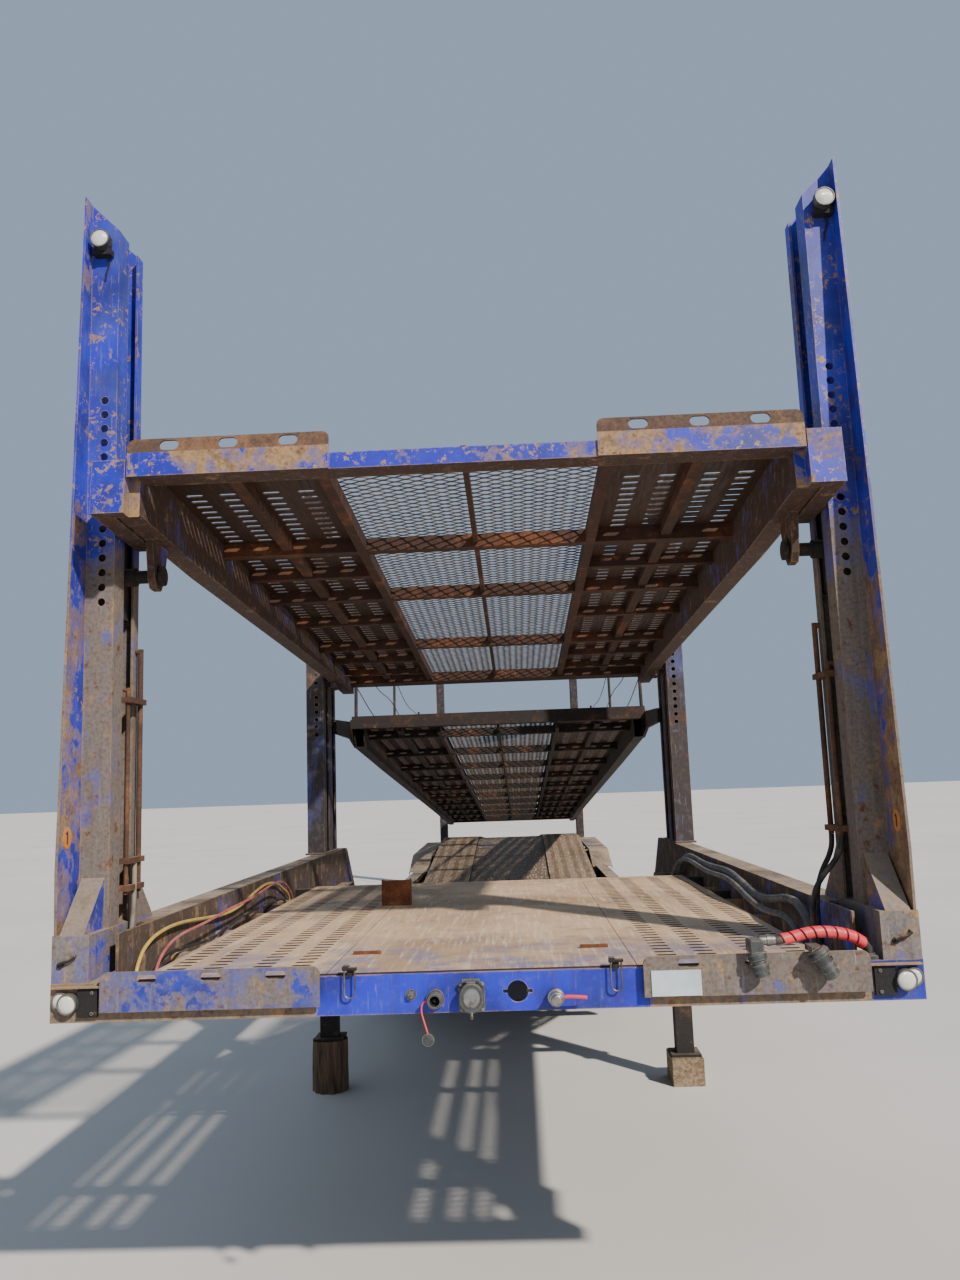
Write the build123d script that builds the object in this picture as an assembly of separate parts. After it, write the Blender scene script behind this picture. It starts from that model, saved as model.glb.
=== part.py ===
from build123d import *
import os
from math import radians, degrees, tan, sin, cos, atan2, hypot

os.makedirs("parts", exist_ok=True)

# Double-deck car transporter semi-trailer, parked on its landing legs.
# Millimetres. X is across (+X is the right side as seen from the front),
# Y runs along the trailer, 0 at the front beam's face and growing to the
# rear, Z is up from the ground. Every solid is made in those coordinates and
# save() moves it so that the box's centre is at Y = 0.

# ---------------------------------------------------------------- main sizes
FD_SLOPE = degrees(atan2(0.0654, 1))  # the front upper deck's slope, rear end down
CORNER_Y, CORNER_D = 66.0, 190.0      # its corner boxes: how far forward, how deep
FRONT_END = -(CORNER_Y * cos(radians(FD_SLOPE)) + CORNER_D * sin(radians(FD_SLOPE)))
REAR_END = 15200.0        # rear face of the underrun bar
Y_MID = (FRONT_END + REAR_END) / 2
HALF_W = 1250.0           # half of the overall width

# front cross beam
BEAM_Z0, BEAM_Z1 = 1105.0, 1215.0
BEAM_DEPTH = 110.0
CENTRE_HALF = 462.0       # half width of the open centre part

# neck (gooseneck) deck
NECK_Z = 1220.0           # top of the deck over the coupling
NECK_END = 2650.0         # where the deck turns down
RUN_IN, RUN_OUT = 450.0, 1000.0      # a runway's inner and outer edge
LOWER_OUT = 955.0                    # its outer edge behind the neck
PLATE_T = 5.0

# masts: C sections that open to the inside
MAST_T = 8.0
MAST_TOP_IN, MAST_TOP_OUT = 3653.0, 3760.0
FRONT_MAST = dict(x0=1149.0, x1=1250.0, y0=150.0, y1=365.0, s0=233.0, s1=321.0)
MID_MAST = dict(x0=1115.0, x1=1225.0, y0=3500.0, y1=3715.0, s0=3583.0, s1=3671.0)
MID_MAST_B = dict(x0=1115.0, x1=1225.0, y0=3715.0, y1=3930.0, s0=3798.0, s1=3886.0)
REAR_MAST = dict(x0=1130.0, x1=1250.0, y0=14800.0, y1=15100.0, s0=14870.0, s1=15030.0)
REAR_MAST_TOP = 3760.0
HOLE_R, HOLE_PITCH, HOLE_TOP, HOLE_ROWS = 13.0, 48.5, 3050.0, 15

# front upper deck
FD_Y, FD_Z = 0.0, 2784.0            # a point on the deck's top plane
FD_END = 4060.0
FD_PIN_Y, FD_PIN_Z = 277.0, 2475.0  # tilt pin in the front carriage
FD_GUIDE_Y, FD_GUIDE_Z = 3626.0, 2440.0
FD_BARS = [884.5, 1646.5, 2817.5]
FD_SHORT = [1270.0, 2190.0, 3250.0, 3700.0]   # under the runways only

# rear upper deck
RD_Y, RD_Z = 4800.0, 2171.0
RD_SLOPE = degrees(atan2(0.1, 1))
RD_START, RD_END = 4440.0, 14720.0
RD_PIN_Y, RD_PIN_Z = 3842.0, 2167.0
RD_GUIDE_Y, RD_GUIDE_Z = 14915.0, 1085.0
RD_BARS = [4750.0 + 1080.0 * i for i in range(10)]

DECK_IN, DECK_OUT = 1000.0, 1075.0  # side beam of an upper deck
DECK_MESH = 436.0                   # half width of the mesh strip

# wheels
WHEEL_R = 394.0
TYRE_W = 235.0
TWIN_OUT, TWIN_IN = 1117.5, 832.5   # middle planes of the two tyres
RIM_R = 222.0
AXLES_Y = [10550.0, 11860.0]

# landing legs
LEG_X, LEG_Y = 1040.0, 3200.0
LOG_TOP, BLOCK_TOP = 290.0, 150.0

# the lower deck's running surface, (Y, Z) of its top
LOWER = [(NECK_END, NECK_Z), (4400.0, 620.0), (7600.0, 605.0), (11200.0, 985.0),
         (12050.0, 985.0), (14795.0, 815.0)]


# ---------------------------------------------------------------- helpers
def bx(x0, x1, y0, y1, z0, z1):
    return Pos((x0 + x1) / 2, (y0 + y1) / 2, (z0 + z1) / 2) * Box(abs(x1 - x0), abs(y1 - y0), abs(z1 - z0))


def face(plane, pts):
    return make_face(plane * Polyline(*pts, close=True))


def yz(pts, x0, x1):
    """A profile of (Y, Z) points, extruded from x0 to x1."""
    return extrude(face(Plane.YZ.offset(x0), pts), amount=x1 - x0, dir=(1, 0, 0))


def xz(pts, y0, y1):
    """A profile of (X, Z) points, extruded from y0 to y1."""
    return extrude(face(Plane.XZ.offset(-y0), pts), amount=y1 - y0, dir=(0, 1, 0))


def xy(pts, z0, z1):
    return extrude(face(Plane.XY.offset(z0), pts), amount=z1 - z0, dir=(0, 0, 1))


def rod_x(r, x0, x1, y, z):
    return Pos((x0 + x1) / 2, y, z) * Rot(0, 90, 0) * Cylinder(r, abs(x1 - x0))


def rod_y(r, y0, y1, x, z):
    return Pos(x, (y0 + y1) / 2, z) * Rot(90, 0, 0) * Cylinder(r, abs(y1 - y0))


def rod_z(r, z0, z1, x, y):
    return Pos(x, y, (z0 + z1) / 2) * Cylinder(r, abs(z1 - z0))


def join(items):
    items = list(items)
    out = items[0]
    if len(items) > 1:
        out = items[0].fuse(*items[1:])
    return out


def both(shape):
    """The shape and its mirror image on the other side."""
    return [shape, mirror(shape, about=Plane.YZ)]


def tilt(shape, y, z, slope):
    """Turn a flat deck piece about the across line at (y, z), rear end down."""
    return shape.rotate(Axis((0, y, z), (1, 0, 0)), -slope)


def flat_of(y, z, oy, oz, slope):
    """Where a point of the sloping deck lies in the flat deck."""
    a = radians(slope)
    dy, dz = y - oy, z - oz
    return oy + dy * cos(a) - dz * sin(a), oz + dy * sin(a) + dz * cos(a)


def strip(top, t):
    """A plate of thickness t under a line of (Y, Z) points."""
    return list(top) + [(y, z - t) for y, z in reversed(top)]


def line_z(line, y):
    for (y0, z0), (y1, z1) in zip(line, line[1:]):
        if y0 <= y <= y1:
            return z0 + (z1 - z0) * (y - y0) / (y1 - y0)
    return line[-1][1]


def save(name, *shapes):
    solids = []
    for s in shapes:
        items = s if isinstance(s, (list, tuple)) else [s]
        for item in items:
            solids += list(item.solids())
    solids = [Pos(0, -Y_MID, 0) * s for s in solids]
    out = solids[0] if len(solids) == 1 else Compound(children=solids)
    export_step(out, os.path.join("parts", name + ".step"))


def route(points, r):
    """A tube of radius r along straight runs joined by tangent arcs."""
    v = [Vector(*p) for p in points]
    radii = []
    for a, b, c in zip(v, v[1:], v[2:]):
        turn = (b - a).get_angle(c - b)
        run = min((b - a).length, (c - b).length)
        radii.append(0.45 * run / tan(radians(turn) / 2))
    path = FilletPolyline(*v, radius=radii) if radii else Polyline(*v)
    start = Plane(origin=v[0], z_dir=(v[1] - v[0]).normalized())
    tube = sweep(start * Circle(r), path=path)
    return tube, path.length, min(radii) if radii else 0


# ---------------------------------------------------------------- front beam
def front_crossbeam():
    t = 8.0
    half = 1255.0
    c = [bx(-half, half, 0, t, BEAM_Z0, BEAM_Z1),
         bx(-half, half, t, BEAM_DEPTH, BEAM_Z0, BEAM_Z0 + t),
         bx(-half, half, t, BEAM_DEPTH, BEAM_Z1 - t, BEAM_Z1)]
    for x in (-half, -CENTRE_HALF, CENTRE_HALF - t, half - t):
        c.append(bx(x, x + t, t, BEAM_DEPTH, BEAM_Z0 + t, BEAM_Z1 - t))
    beam = join(c)
    beam -= rod_y(30, -5, t + 5, 104, 1159)
    beam -= bx(62, 146, -5, t + 5, 1154, 1164)
    return beam


def flap(x0, x1, y, z0, z1, slots, slot_z, slot_l=58.0, slot_h=22.0, t=8.0, r=22.0):
    """A slotted face plate with rounded upper corners."""
    plate = bx(x0, x1, y - t, y, z0, z1)
    plate = fillet(plate.edges().filter_by(Axis.Y).group_by(Axis.Z)[-1], r)
    for x in slots:
        plate -= bx(x - slot_l / 2 + slot_h / 2, x + slot_l / 2 - slot_h / 2, y - t - 1, y + 1,
                    slot_z - slot_h / 2, slot_z + slot_h / 2)
        for dx in (-1, 1):
            plate -= rod_y(slot_h / 2, y - t - 1, y + 1, x + dx * (slot_l / 2 - slot_h / 2), slot_z)
    return plate


# ---------------------------------------------------------------- masts
def channel(m, z0, z1, t=MAST_T, front=True):
    """A C section that opens inward (-X of the right-hand mast)."""
    c = [bx(m["x1"] - t, m["x1"], m["y0"], m["y1"], z0, z1),
         bx(m["x0"], m["x1"] - t, m["y1"] - t, m["y1"], z0, z1),
         bx(m["x0"], m["x0"] + t, m["s1"], m["y1"] - t, z0, z1)]
    if front:
        c += [bx(m["x0"], m["x1"] - t, m["y0"], m["y0"] + t, z0, z1),
              bx(m["x0"], m["x0"] + t, m["y0"] + t, m["s0"], z0, z1)]
    else:
        c += [bx(m["x0"], m["x0"] + t, m["y0"], m["s0"], z0, z1)]
    return c


def slant(m, y0, y1, top_in, top_out):
    """The wedge that is cut away above a mast's slanted top."""
    x0, x1 = m["x0"], 1255.0
    k = (top_out - top_in) / (x1 - x0)
    return xz([(x0 - 20, top_in - 20 * k), (x1 + 20, top_out + 20 * k), (x1 + 20, top_out + 400),
               (x0 - 20, top_out + 400)], y0 - 200, y1 + 20)


def holes(m, xs, rows=HOLE_ROWS, top=HOLE_TOP):
    out = []
    xm = (m["x0"] + m["x1"]) / 2 - 10
    for i in range(rows):
        out.append(rod_y(HOLE_R, m["y0"] - 5, m["y0"] + MAST_T + 5, xm, top - i * HOLE_PITCH))
    return out


def front_mast():
    m = FRONT_MAST
    z0, z1 = 1350.0, MAST_TOP_OUT
    body = channel(m, z0, z1)
    fin = yz([(m["y0"] - 47, z1), (m["y0"], z1), (m["y0"], z0), (2, z0), (m["y0"] - 154, 1530)],
             m["x1"] - MAST_T, m["x1"])
    body.append(fin)
    mast = join(body)
    mast -= slant(m, m["y0"], m["y1"], MAST_TOP_IN, MAST_TOP_OUT)
    mast = mast.cut(*holes(m, 1))
    # foot: a box on the cross beam with two gussets
    foot = [bx(1145, 1255, 2, 372, BEAM_Z1, BEAM_Z1 + 12),
            bx(1145, 1255, 2, 14, BEAM_Z1 + 12, 1350),
            bx(1145, 1153, 14, 372, BEAM_Z1 + 12, 1350),
            bx(1242, 1250, 14, 372, BEAM_Z1 + 12, 1350),
            bx(1153, 1242, 364, 372, BEAM_Z1 + 12, 1350),
            bx(1145, 1255, 2, 372, 1342, 1350)]
    face_plate = yz([(4, 1350), (14, 1350), (m["y0"], 1490), (m["y0"], 1502)], 1163, 1234)
    side_plate = yz([(4, 1350), (m["y0"], 1350), (m["y0"], 1502)], 1163, 1171)
    rear_plate = yz([(365, 1350), (365, 1515), (530, 1346), (530, 1338), (376, 1338), (372, 1350)], 1149, 1157)
    return join([mast] + foot + [face_plate, side_plate, rear_plate])


def mid_mast():
    z0 = 1348.0
    a = channel(MID_MAST, z0, MAST_TOP_OUT)
    b = channel(MID_MAST_B, z0, MAST_TOP_OUT, front=False)
    mast = join(a + b)
    mast -= slant(MID_MAST, MID_MAST["y0"], MID_MAST_B["y1"], MAST_TOP_IN, MAST_TOP_OUT)
    mast = mast.cut(*holes(MID_MAST, 1, top=2780.0))
    foot = bx(1105, 1235, 3470, 3960, 1338, 1348)
    return join([mast, foot])


def rear_mast():
    m = REAR_MAST
    z0 = 807.0
    mast = join(channel(m, z0, REAR_MAST_TOP))
    mast -= slant(m, m["y0"], m["y1"], REAR_MAST_TOP - 107, REAR_MAST_TOP)
    mast = mast.cut(*holes(m, 1, rows=15, top=2400.0))
    foot = bx(1118, 1250, 14800, 15110, 795, 807)
    return join([mast, foot])


# ---------------------------------------------------------------- chassis
def neck_side_rail():
    """Z section beside the neck deck, turning down behind the middle mast."""
    t = 8.0
    x0, x1 = 1030.0, 1200.0
    top = [(110, 1338), (4150, 1338), (4250, 1330), (4850, 780), (5000, 720)]
    low = [(5000, 430), (4800, 430), (4050, 1105), (110, 1105)]
    web = yz([(y, z) for y, z in top] + low, 1100, 1100 + t)
    cap = yz(strip([(376, 1338), (4150, 1338), (4250, 1330), (4850, 780), (5000, 720)], t), x0 + 78, x1)
    lip = yz([(376, 1330), (4148, 1330), (4148, 1270), (376, 1270)], x1 - t, x1)
    flange = yz([(110, 1105), (4050, 1105), (4800, 430), (5000, 430), (5000, 430 + t), (4803, 430 + t),
                 (4053, 1105 + t), (110, 1105 + t)], x0, 1100)
    return join([web, cap, lip, flange])


def side_girder():
    """C section beside the well, with its web outside."""
    t = 8.0
    web = bx(1160, 1168, 5000, 9600, 430, 720)
    top = bx(1040, 1168, 5000, 9600, 712, 720)
    low = bx(1040, 1168, 5000, 9600, 430, 438)
    end = bx(1040, 1168, 9592, 9600, 430, 720)
    start = bx(1040, 1168, 5000, 5008, 430, 720)
    ribs = [bx(1040, 1160, y, y + t, 438, 712) for y in (5900, 6800, 7700, 8600)]
    return join([web, top, low, end, start] + ribs)


def inner_girder():
    """Box girder under a runway, from the front beam to the tail."""
    top = [(110, NECK_Z - PLATE_T)] + [(y, z - PLATE_T) for y, z in LOWER]
    low = [(14795, 640), (12500, 690), (9950, 690), (8200, 470), (7600, 440),
           (4640, 440), (4300, 500), (2500, 1110), (110, 1110)]
    return yz(top + low, 455, 515)


def frame_crossmembers():
    bars = []
    for y, x in ((500, 1018), (1860, 1100), (2560, 1100)):
        bars.append(bx(-x, x, y, y + 60, 1135, 1215))
    bars.append(bx(-975, 975, 3170, 3230, 880, 950))
    bars.append(bx(-1040, 1040, 4440, 4500, 450, 530))
    for y in (5200, 6300, 7400):
        bars.append(bx(-1160, 1160, y, y + 60, 470, 550))
    for y in (8400, 9300):
        bars.append(bx(-1160, 1160, y, y + 60, 470, 550))
    for y in (13000, 13900):
        bars.append(bx(-1030, 1030, y, y + 60, 700, 760))
    return bars


def lower_runway():
    line = [(NECK_END + 2, NECK_Z)] + LOWER[1:]
    plate = yz(strip(line, PLATE_T), RUN_IN, LOWER_OUT)
    lip = yz(strip([(y, z - PLATE_T) for y, z in line], 45), LOWER_OUT - 6, LOWER_OUT)
    return join([plate, lip])


def lower_centre():
    line = [(y, z - 22) for y, z in LOWER]
    line = [(NECK_END + 30, NECK_Z - 32)] + line[1:]
    return yz(strip(line, PLATE_T), -445, 445)


def mudguard():
    line = [(9650, 700), (10180, 872), (12300, 905), (12660, 800)]
    top = yz(strip(line, 4), 1010, 1250)
    lip = yz(strip([(y, z - 4) for y, z in line], 40), 1246, 1250)
    inner = yz(strip([(y, z - 4) for y, z in line], 30), 1010, 1014)
    back = bx(955, 1010, 10250, 10290, 846, 866)
    front = [bx(955, 961, 12180, 12220, 876, 950), bx(961, 1010, 12180, 12220, 876, 890)]
    return join([top, lip, inner, back] + front)


def tail_rail():
    return join([bx(1030, 1110, 12700, 14800, 690, 700), bx(1102, 1110, 12700, 14800, 700, 790),
                 bx(1030, 1110, 12700, 14800, 780, 790)])


def rear_crossbeam():
    parts = [bx(-HALF_W, HALF_W, 14800, 15110, 620, 630), bx(-HALF_W, HALF_W, 14800, 15110, 785, 795),
             bx(-HALF_W, HALF_W, 14800, 14810, 630, 785), bx(-HALF_W, HALF_W, 15100, 15110, 630, 785)]
    for x in (-HALF_W, -530, 520, HALF_W - 10):
        parts.append(bx(x, x + 10, 14810, 15100, 630, 785))
    return join(parts)


def landing_leg(side, foot_z):
    """Square outer and inner tube and a foot plate; side is -1 or 1."""
    x = side * LEG_X
    upper = bx(x - 65, x + 65, LEG_Y - 65, LEG_Y + 65, 560, 1105)
    inner = bx(x - 50, x + 50, LEG_Y - 50, LEG_Y + 50, foot_z + 14, 560)
    foot = bx(x - 85, x + 85, LEG_Y - 85, LEG_Y + 85, foot_z, foot_z + 14)
    shoulder = bx(x - 75, x + 75, LEG_Y - 75, LEG_Y + 75, 555, 585)
    return join([upper, inner, foot, shoulder])


def leg_brace():
    return bx(-975, 975, LEG_Y - 20, LEG_Y + 20, 690, 760)


# ---------------------------------------------------------------- running gear
def tyre(x):
    """Ring with round sidewalls; x is its middle plane."""
    h = TYRE_W / 2
    pts_in = [(-h + 18, RIM_R + 3), (h - 18, RIM_R + 3)]
    with BuildPart() as p:
        with BuildSketch(Plane.XY):
            with BuildLine():
                Polyline((-h + 18, RIM_R + 3), (h - 18, RIM_R + 3))
                ThreePointArc((h - 18, RIM_R + 3), (h + 1, 305), (h - 22, 378))
                ThreePointArc((h - 22, 378), (h - 31, 388), (h - 47, WHEEL_R - 2.5))
                ThreePointArc((h - 47, WHEEL_R - 2.5), (0, WHEEL_R), (-h + 47, WHEEL_R - 2.5))
                ThreePointArc((-h + 47, WHEEL_R - 2.5), (-h + 31, 388), (-h + 22, 378))
                ThreePointArc((-h + 22, 378), (-h - 1, 305), (-h + 18, RIM_R + 3))
            make_face()
        revolve(axis=Axis.X)
    return Pos(x, 0, 0) * p.part


def rim(x, dish):
    """Wheel disc and rim; dish is the X of the disc's mounting face."""
    h = TYRE_W / 2 - 12
    s = 1 if dish < x else -1
    # (x, r) profile of the barrel, dropped in the middle
    outer = [(x - h, RIM_R + 12), (x - h, RIM_R), (x - 60, RIM_R), (x - 40, RIM_R - 16), (x + 40, RIM_R - 16),
             (x + 60, RIM_R), (x + h, RIM_R), (x + h, RIM_R + 12), (x + h + 6, RIM_R + 12), (x + h + 6, RIM_R - 9),
             (x + 58, RIM_R - 9), (x + 38, RIM_R - 25), (x - 38, RIM_R - 25), (x - 58, RIM_R - 9),
             (x - h - 6, RIM_R - 9), (x - h - 6, RIM_R + 12)]
    barrel = revolve(make_face(Polyline(*outer, close=True)), axis=Axis.X)
    face_x = dish
    far = x - s * 38
    disc = [(face_x, 60), (face_x, 128), (face_x + s * 14, 150), (far, RIM_R - 24), (far + s * 12, RIM_R - 24),
            (face_x + s * 28, 140), (face_x + s * 12, 120), (face_x + s * 12, 60)]
    web = revolve(make_face(Polyline(*disc, close=True)), axis=Axis.X)
    return join([barrel, web])


def hub():
    """Drum, hub and cap that turn with a twin wheel, hollow for the spindle."""
    drum = [(690, 150), (690, 182), (850, 182), (850, 112), (962, 112), (962, 59), (988, 59), (988, 108),
            (1002, 108), (1002, 70), (1090, 62), (1098, 50), (1098, 0.0), (1086, 0.0), (1086, 42), (836, 42),
            (836, 172), (702, 172), (702, 150)]
    return revolve(make_face(Polyline(*drum, close=True)), axis=Axis.X)


def wheel_solids(side, y):
    place = Pos(0, y, WHEEL_R)
    tyres = [place * tyre(TWIN_IN), place * tyre(TWIN_OUT)]
    metal = join([place * rim(TWIN_IN, 963.0), place * rim(TWIN_OUT, 987.0), place * hub()])
    if side < 0:
        tyres = [mirror(t, about=Plane.YZ) for t in tyres]
        metal = mirror(metal, about=Plane.YZ)
    return tyres, metal


def axle(y):
    z = WHEEL_R
    parts = [bx(-650, 650, y - 60, y + 60, z - 60, z + 60), rod_x(40, 640, 1060, y, z), rod_x(40, -1060, -640, y, z)]
    for s in (-1, 1):
        parts.append(rod_x(120, s * 640, s * 672, y, z))
        # trailing arm and its seat under the axle
        arm = [(y - 470, z + 100), (y - 430, z + 130), (y - 60, z + 30), (y + 60, z + 20), (y + 300, z + 30),
               (y + 500, z + 30), (y + 500, z + 5), (y + 300, z - 20), (y - 80, z - 75), (y - 430, z + 60),
               (y - 470, z + 70)]
        parts.append(yz(arm, s * 485 - 40, s * 485 + 40) - rod_x(18.5, s * 485 - 45, s * 485 + 45, y - 445, z + 91))
    return join(parts)


def hanger(y, x):
    """Bracket that carries a trailing arm's pin, and the air spring behind it."""
    z = WHEEL_R
    low = [(y - 540, 680), (y - 380, 680), (y - 400, z + 60), (y - 500, z + 60)]
    a = yz(low, x - 55, x - 45)
    b = yz(low, x + 45, x + 55)
    cap = bx(x - 55, x + 55, y - 540, y - 380, 680, 690)
    pin = rod_x(18, x - 62, x + 62, y - 445, z + 91)
    return join([a, b, cap, pin])


def air_spring(y, x):
    return rod_z(95, WHEEL_R + 30, 690, x, y + 400)


# ---------------------------------------------------------------- upper decks
def deck_side_beam(y0, y1, zt, d0, d1, ya, yb):
    """Hollow side beam: depth d0 up to ya, tapering to d1 at yb."""
    outer = [(y0, zt), (y1, zt), (y1, zt - d1), (yb, zt - d1), (ya, zt - d0), (y0, zt - d0)]
    inner = [(y0 - 1, zt - 6), (y1 + 1, zt - 6), (y1 + 1, zt - d1 + 6), (yb, zt - d1 + 6), (ya, zt - d0 + 6),
             (y0 - 1, zt - d0 + 6)]
    return yz(outer, DECK_IN, DECK_OUT) - yz(inner, DECK_IN + 6, DECK_OUT - 6)


def deck_grid(bars, zt, y0, y1, depth=62.0, half=26.0, short=(), wide=24.0):
    """Cross bars and the lengthwise bars beside the mesh, joined in one frame."""
    parts = []
    for y in bars:
        parts.append(bx(-DECK_IN, DECK_IN, y - half, y + half, zt - depth, zt - PLATE_T))
    for y in short:
        parts += both(bx(DECK_MESH + 6, DECK_IN, y - 20, y + 20, zt - 50, zt - PLATE_T))
    parts += both(bx(DECK_MESH - 6, DECK_MESH - 6 + wide, y0, y1, zt - depth, zt - PLATE_T))
    parts.append(bx(-9, 9, y0, y1, zt - 42, zt - PLATE_T))
    for x in (-740, 740):
        parts.append(bx(x - 20, x + 20, y0, y1, zt - 44, zt - PLATE_T))
    return join(parts)


def ear(py, pz, zt, slope, oy, oz, x0, x1, w, pin_r):
    """Plate that hangs from a side beam and holds a pin; made flat, then tilted."""
    fy, fz = flat_of(py, pz, oy, oz, slope)
    plate = yz([(fy - w, zt), (fy + w, zt), (fy + w * 0.55, fz - 20), (fy + w * 0.3, fz - w * 0.62),
                (fy - w * 0.3, fz - w * 0.62), (fy - w * 0.55, fz - 20)], x0, x1)
    return plate - rod_x(pin_r, x0 - 5, x1 + 5, fy, fz)


def front_deck():
    zt = FD_Z
    beams, front, grid, ways, mesh = [], [], [], [], []
    beam = deck_side_beam(-20, FD_END, zt, 182, 112, 700, 3300)
    hang = ear(FD_PIN_Y, FD_PIN_Z, zt - 176, FD_SLOPE, FD_Y, FD_Z, 1046, 1070, 75, 23.0)
    gy, gz = flat_of(FD_GUIDE_Y, FD_GUIDE_Z, FD_Y, FD_Z, FD_SLOPE)
    lug = bx(1050, 1075, gy - 60, gy + 60, gz - 35, zt - 100)
    pin = rod_x(20, 1050, 1195, gy, gz)
    right = join([beam, hang, lug, pin])
    beams = both(right)
    # front beam with its slotted flaps, and the corner boxes that run on beside the masts
    front.append(bx(-1036, 1036, -58, -52, zt - 76, zt - 24))
    front.append(bx(-1036, 1036, -52, -22, zt - 30, zt - 24))
    front.append(bx(-998, 998, -52, 22, zt - 76, zt - 70))
    for s in (-1, 1):
        x0, x1 = sorted((s * 1032.0, s * 1136.0))
        front.append(bx(x0, x1, -CORNER_Y, -58, zt - CORNER_D, zt - 20))
        xc, xd = sorted((s * 1077.0, s * 1136.0))
        for za in (zt - 26, zt - CORNER_D):
            front.append(bx(x0, x1, -58, -22, za, za + 6))
            front.append(bx(xc, xd, -22, 330, za, za + 6))
        front.append(bx(xc, xd, 324, 330, zt - CORNER_D, zt - 20))
        xa, xb = sorted((s * 1130.0, s * 1136.0))
        front.append(bx(xa, xb, -58, 330, zt - CORNER_D + 6, zt - 26))
        xa, xb = sorted((s * 1032.0, s * 1038.0))
        front.append(bx(xa, xb, -58, -22, zt - CORNER_D + 6, zt - 26))
        front.append(bx(min(s * 1000, s * 1136), max(s * 1000, s * 1136), -22, -20, zt - CORNER_D, zt - 20))
        xa, xb = sorted((s * 408.0, s * 1028.0))
        front.append(bx(xa, xb, -66, -58, zt - 76, zt))
        lip = flap(xa, xb, 0, 0, 48, [s * x for x in (533, 718, 900)], 24, slot_l=60, slot_h=34, t=6)
        lip = Pos(0, -60, zt - 2) * Rot(-8, 0, 0) * lip
        front.append(lip)
    front = join(front)
    grid = deck_grid(FD_BARS, zt, -20, FD_END - 148, depth=58.0, half=22.5, short=FD_SHORT, wide=36.0)
    tail = bx(-DECK_IN, DECK_IN, FD_END - 148, FD_END, zt - 68, zt - PLATE_T)
    grid = join([grid, tail])
    ways = both(bx(DECK_MESH, DECK_IN, -20, FD_END, zt - PLATE_T, zt))
    mesh = bx(-DECK_MESH + 4, DECK_MESH - 4, 10, FD_END - 30, zt - PLATE_T, zt)
    turn = lambda items: [tilt(i, FD_Y, FD_Z, FD_SLOPE) for i in items]
    return turn(beams), turn([front]), turn([grid]), turn(ways), turn([mesh])


def rear_deck():
    zt = RD_Z
    beam = deck_side_beam(RD_START + 60, RD_END, zt, 150, 120, 6000, 12000)
    gy, gz = flat_of(RD_GUIDE_Y, RD_GUIDE_Z, RD_Y, RD_Z, RD_SLOPE)
    lug = yz([(RD_END - 160, zt - 20), (RD_END, zt - 20), (gy + 40, gz + 30), (gy + 40, gz - 30), (gy - 20, gz - 34),
              (RD_END - 160, zt - 115)], 1050, 1075)
    pin = rod_x(16, 1050, 1200, gy, gz)
    beams = both(join([beam, lug, pin]))
    fy, fz = flat_of(RD_PIN_Y, RD_PIN_Z, RD_Y, RD_Z, RD_SLOPE)
    arm = yz([(fy - 40, fz - 30), (fy - 40, fz + 30), (fy, fz + 48), (RD_START, zt + 30), (RD_START + 80, zt + 60),
              (RD_START + 260, zt - 10), (RD_START + 260, zt - 130), (RD_START, zt - 96), (fy, fz - 48)], 1085, 1105)
    arm = arm - rod_x(21.0, 1080, 1110, fy, fz)
    front = [join([bx(-1085, 1085, RD_START, RD_START + 8, zt - 22, zt + 70),
                   bx(-1085, 1085, RD_START + 8, RD_START + 58, zt - 22, zt - 14),
                   bx(-1085, 1085, RD_START + 8, RD_START + 58, zt + 62, zt + 70)])] + both(arm)
    grid = deck_grid(RD_BARS, zt, RD_START + 60, RD_END - 60)
    tail = bx(-DECK_IN, DECK_IN, RD_END - 60, RD_END, zt - 90, zt - PLATE_T)
    grid = join([grid, tail])
    ways = both(bx(DECK_MESH - 20, DECK_IN, RD_START + 60, RD_END, zt - PLATE_T, zt))
    mesh = bx(-DECK_MESH + 24, DECK_MESH - 24, RD_START + 70, RD_END - 30, zt - PLATE_T, zt)
    posts = []
    for y in POSTS_Y:
        post = join([rod_z(13, zt - 60, zt + 1010, 1098, y), bx(1075, 1111, y - 22, y + 22, zt - 90, zt - 20)])
        posts += both(post)
    turn = lambda items: [tilt(i, RD_Y, RD_Z, RD_SLOPE) for i in items]
    return turn(beams), turn(front), turn([grid]), turn(ways), turn([mesh]), turn(posts)


POSTS_Y = [4730.0, 7200.0, 9750.0, 12300.0, 14300.0]
ROPE_Z = [990.0, 690.0, 390.0]
ROPE_SAG = [130.0, 145.0, 135.0]


def handrail_ropes():
    """Wire ropes through the posts, hanging a little between them."""
    ropes = []
    for z, sag in zip(ROPE_Z, ROPE_SAG):
        pts = []
        for i, y in enumerate(POSTS_Y):
            pts.append((1098.0 + 17.5, y, RD_Z + z))
            if i + 1 < len(POSTS_Y):
                ym = (y + POSTS_Y[i + 1]) / 2
                pts.append((1098.0 + 17.5, ym, RD_Z + z - sag * (1.0 if i % 2 else 0.8)))
        tube, length, rmin = route(pts, 4.0)
        tube = tilt(tube, RD_Y, RD_Z, RD_SLOPE)
        print("rope length", round(length), "smallest radius", round(rmin))
        ropes += both(tube)
    return ropes


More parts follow.
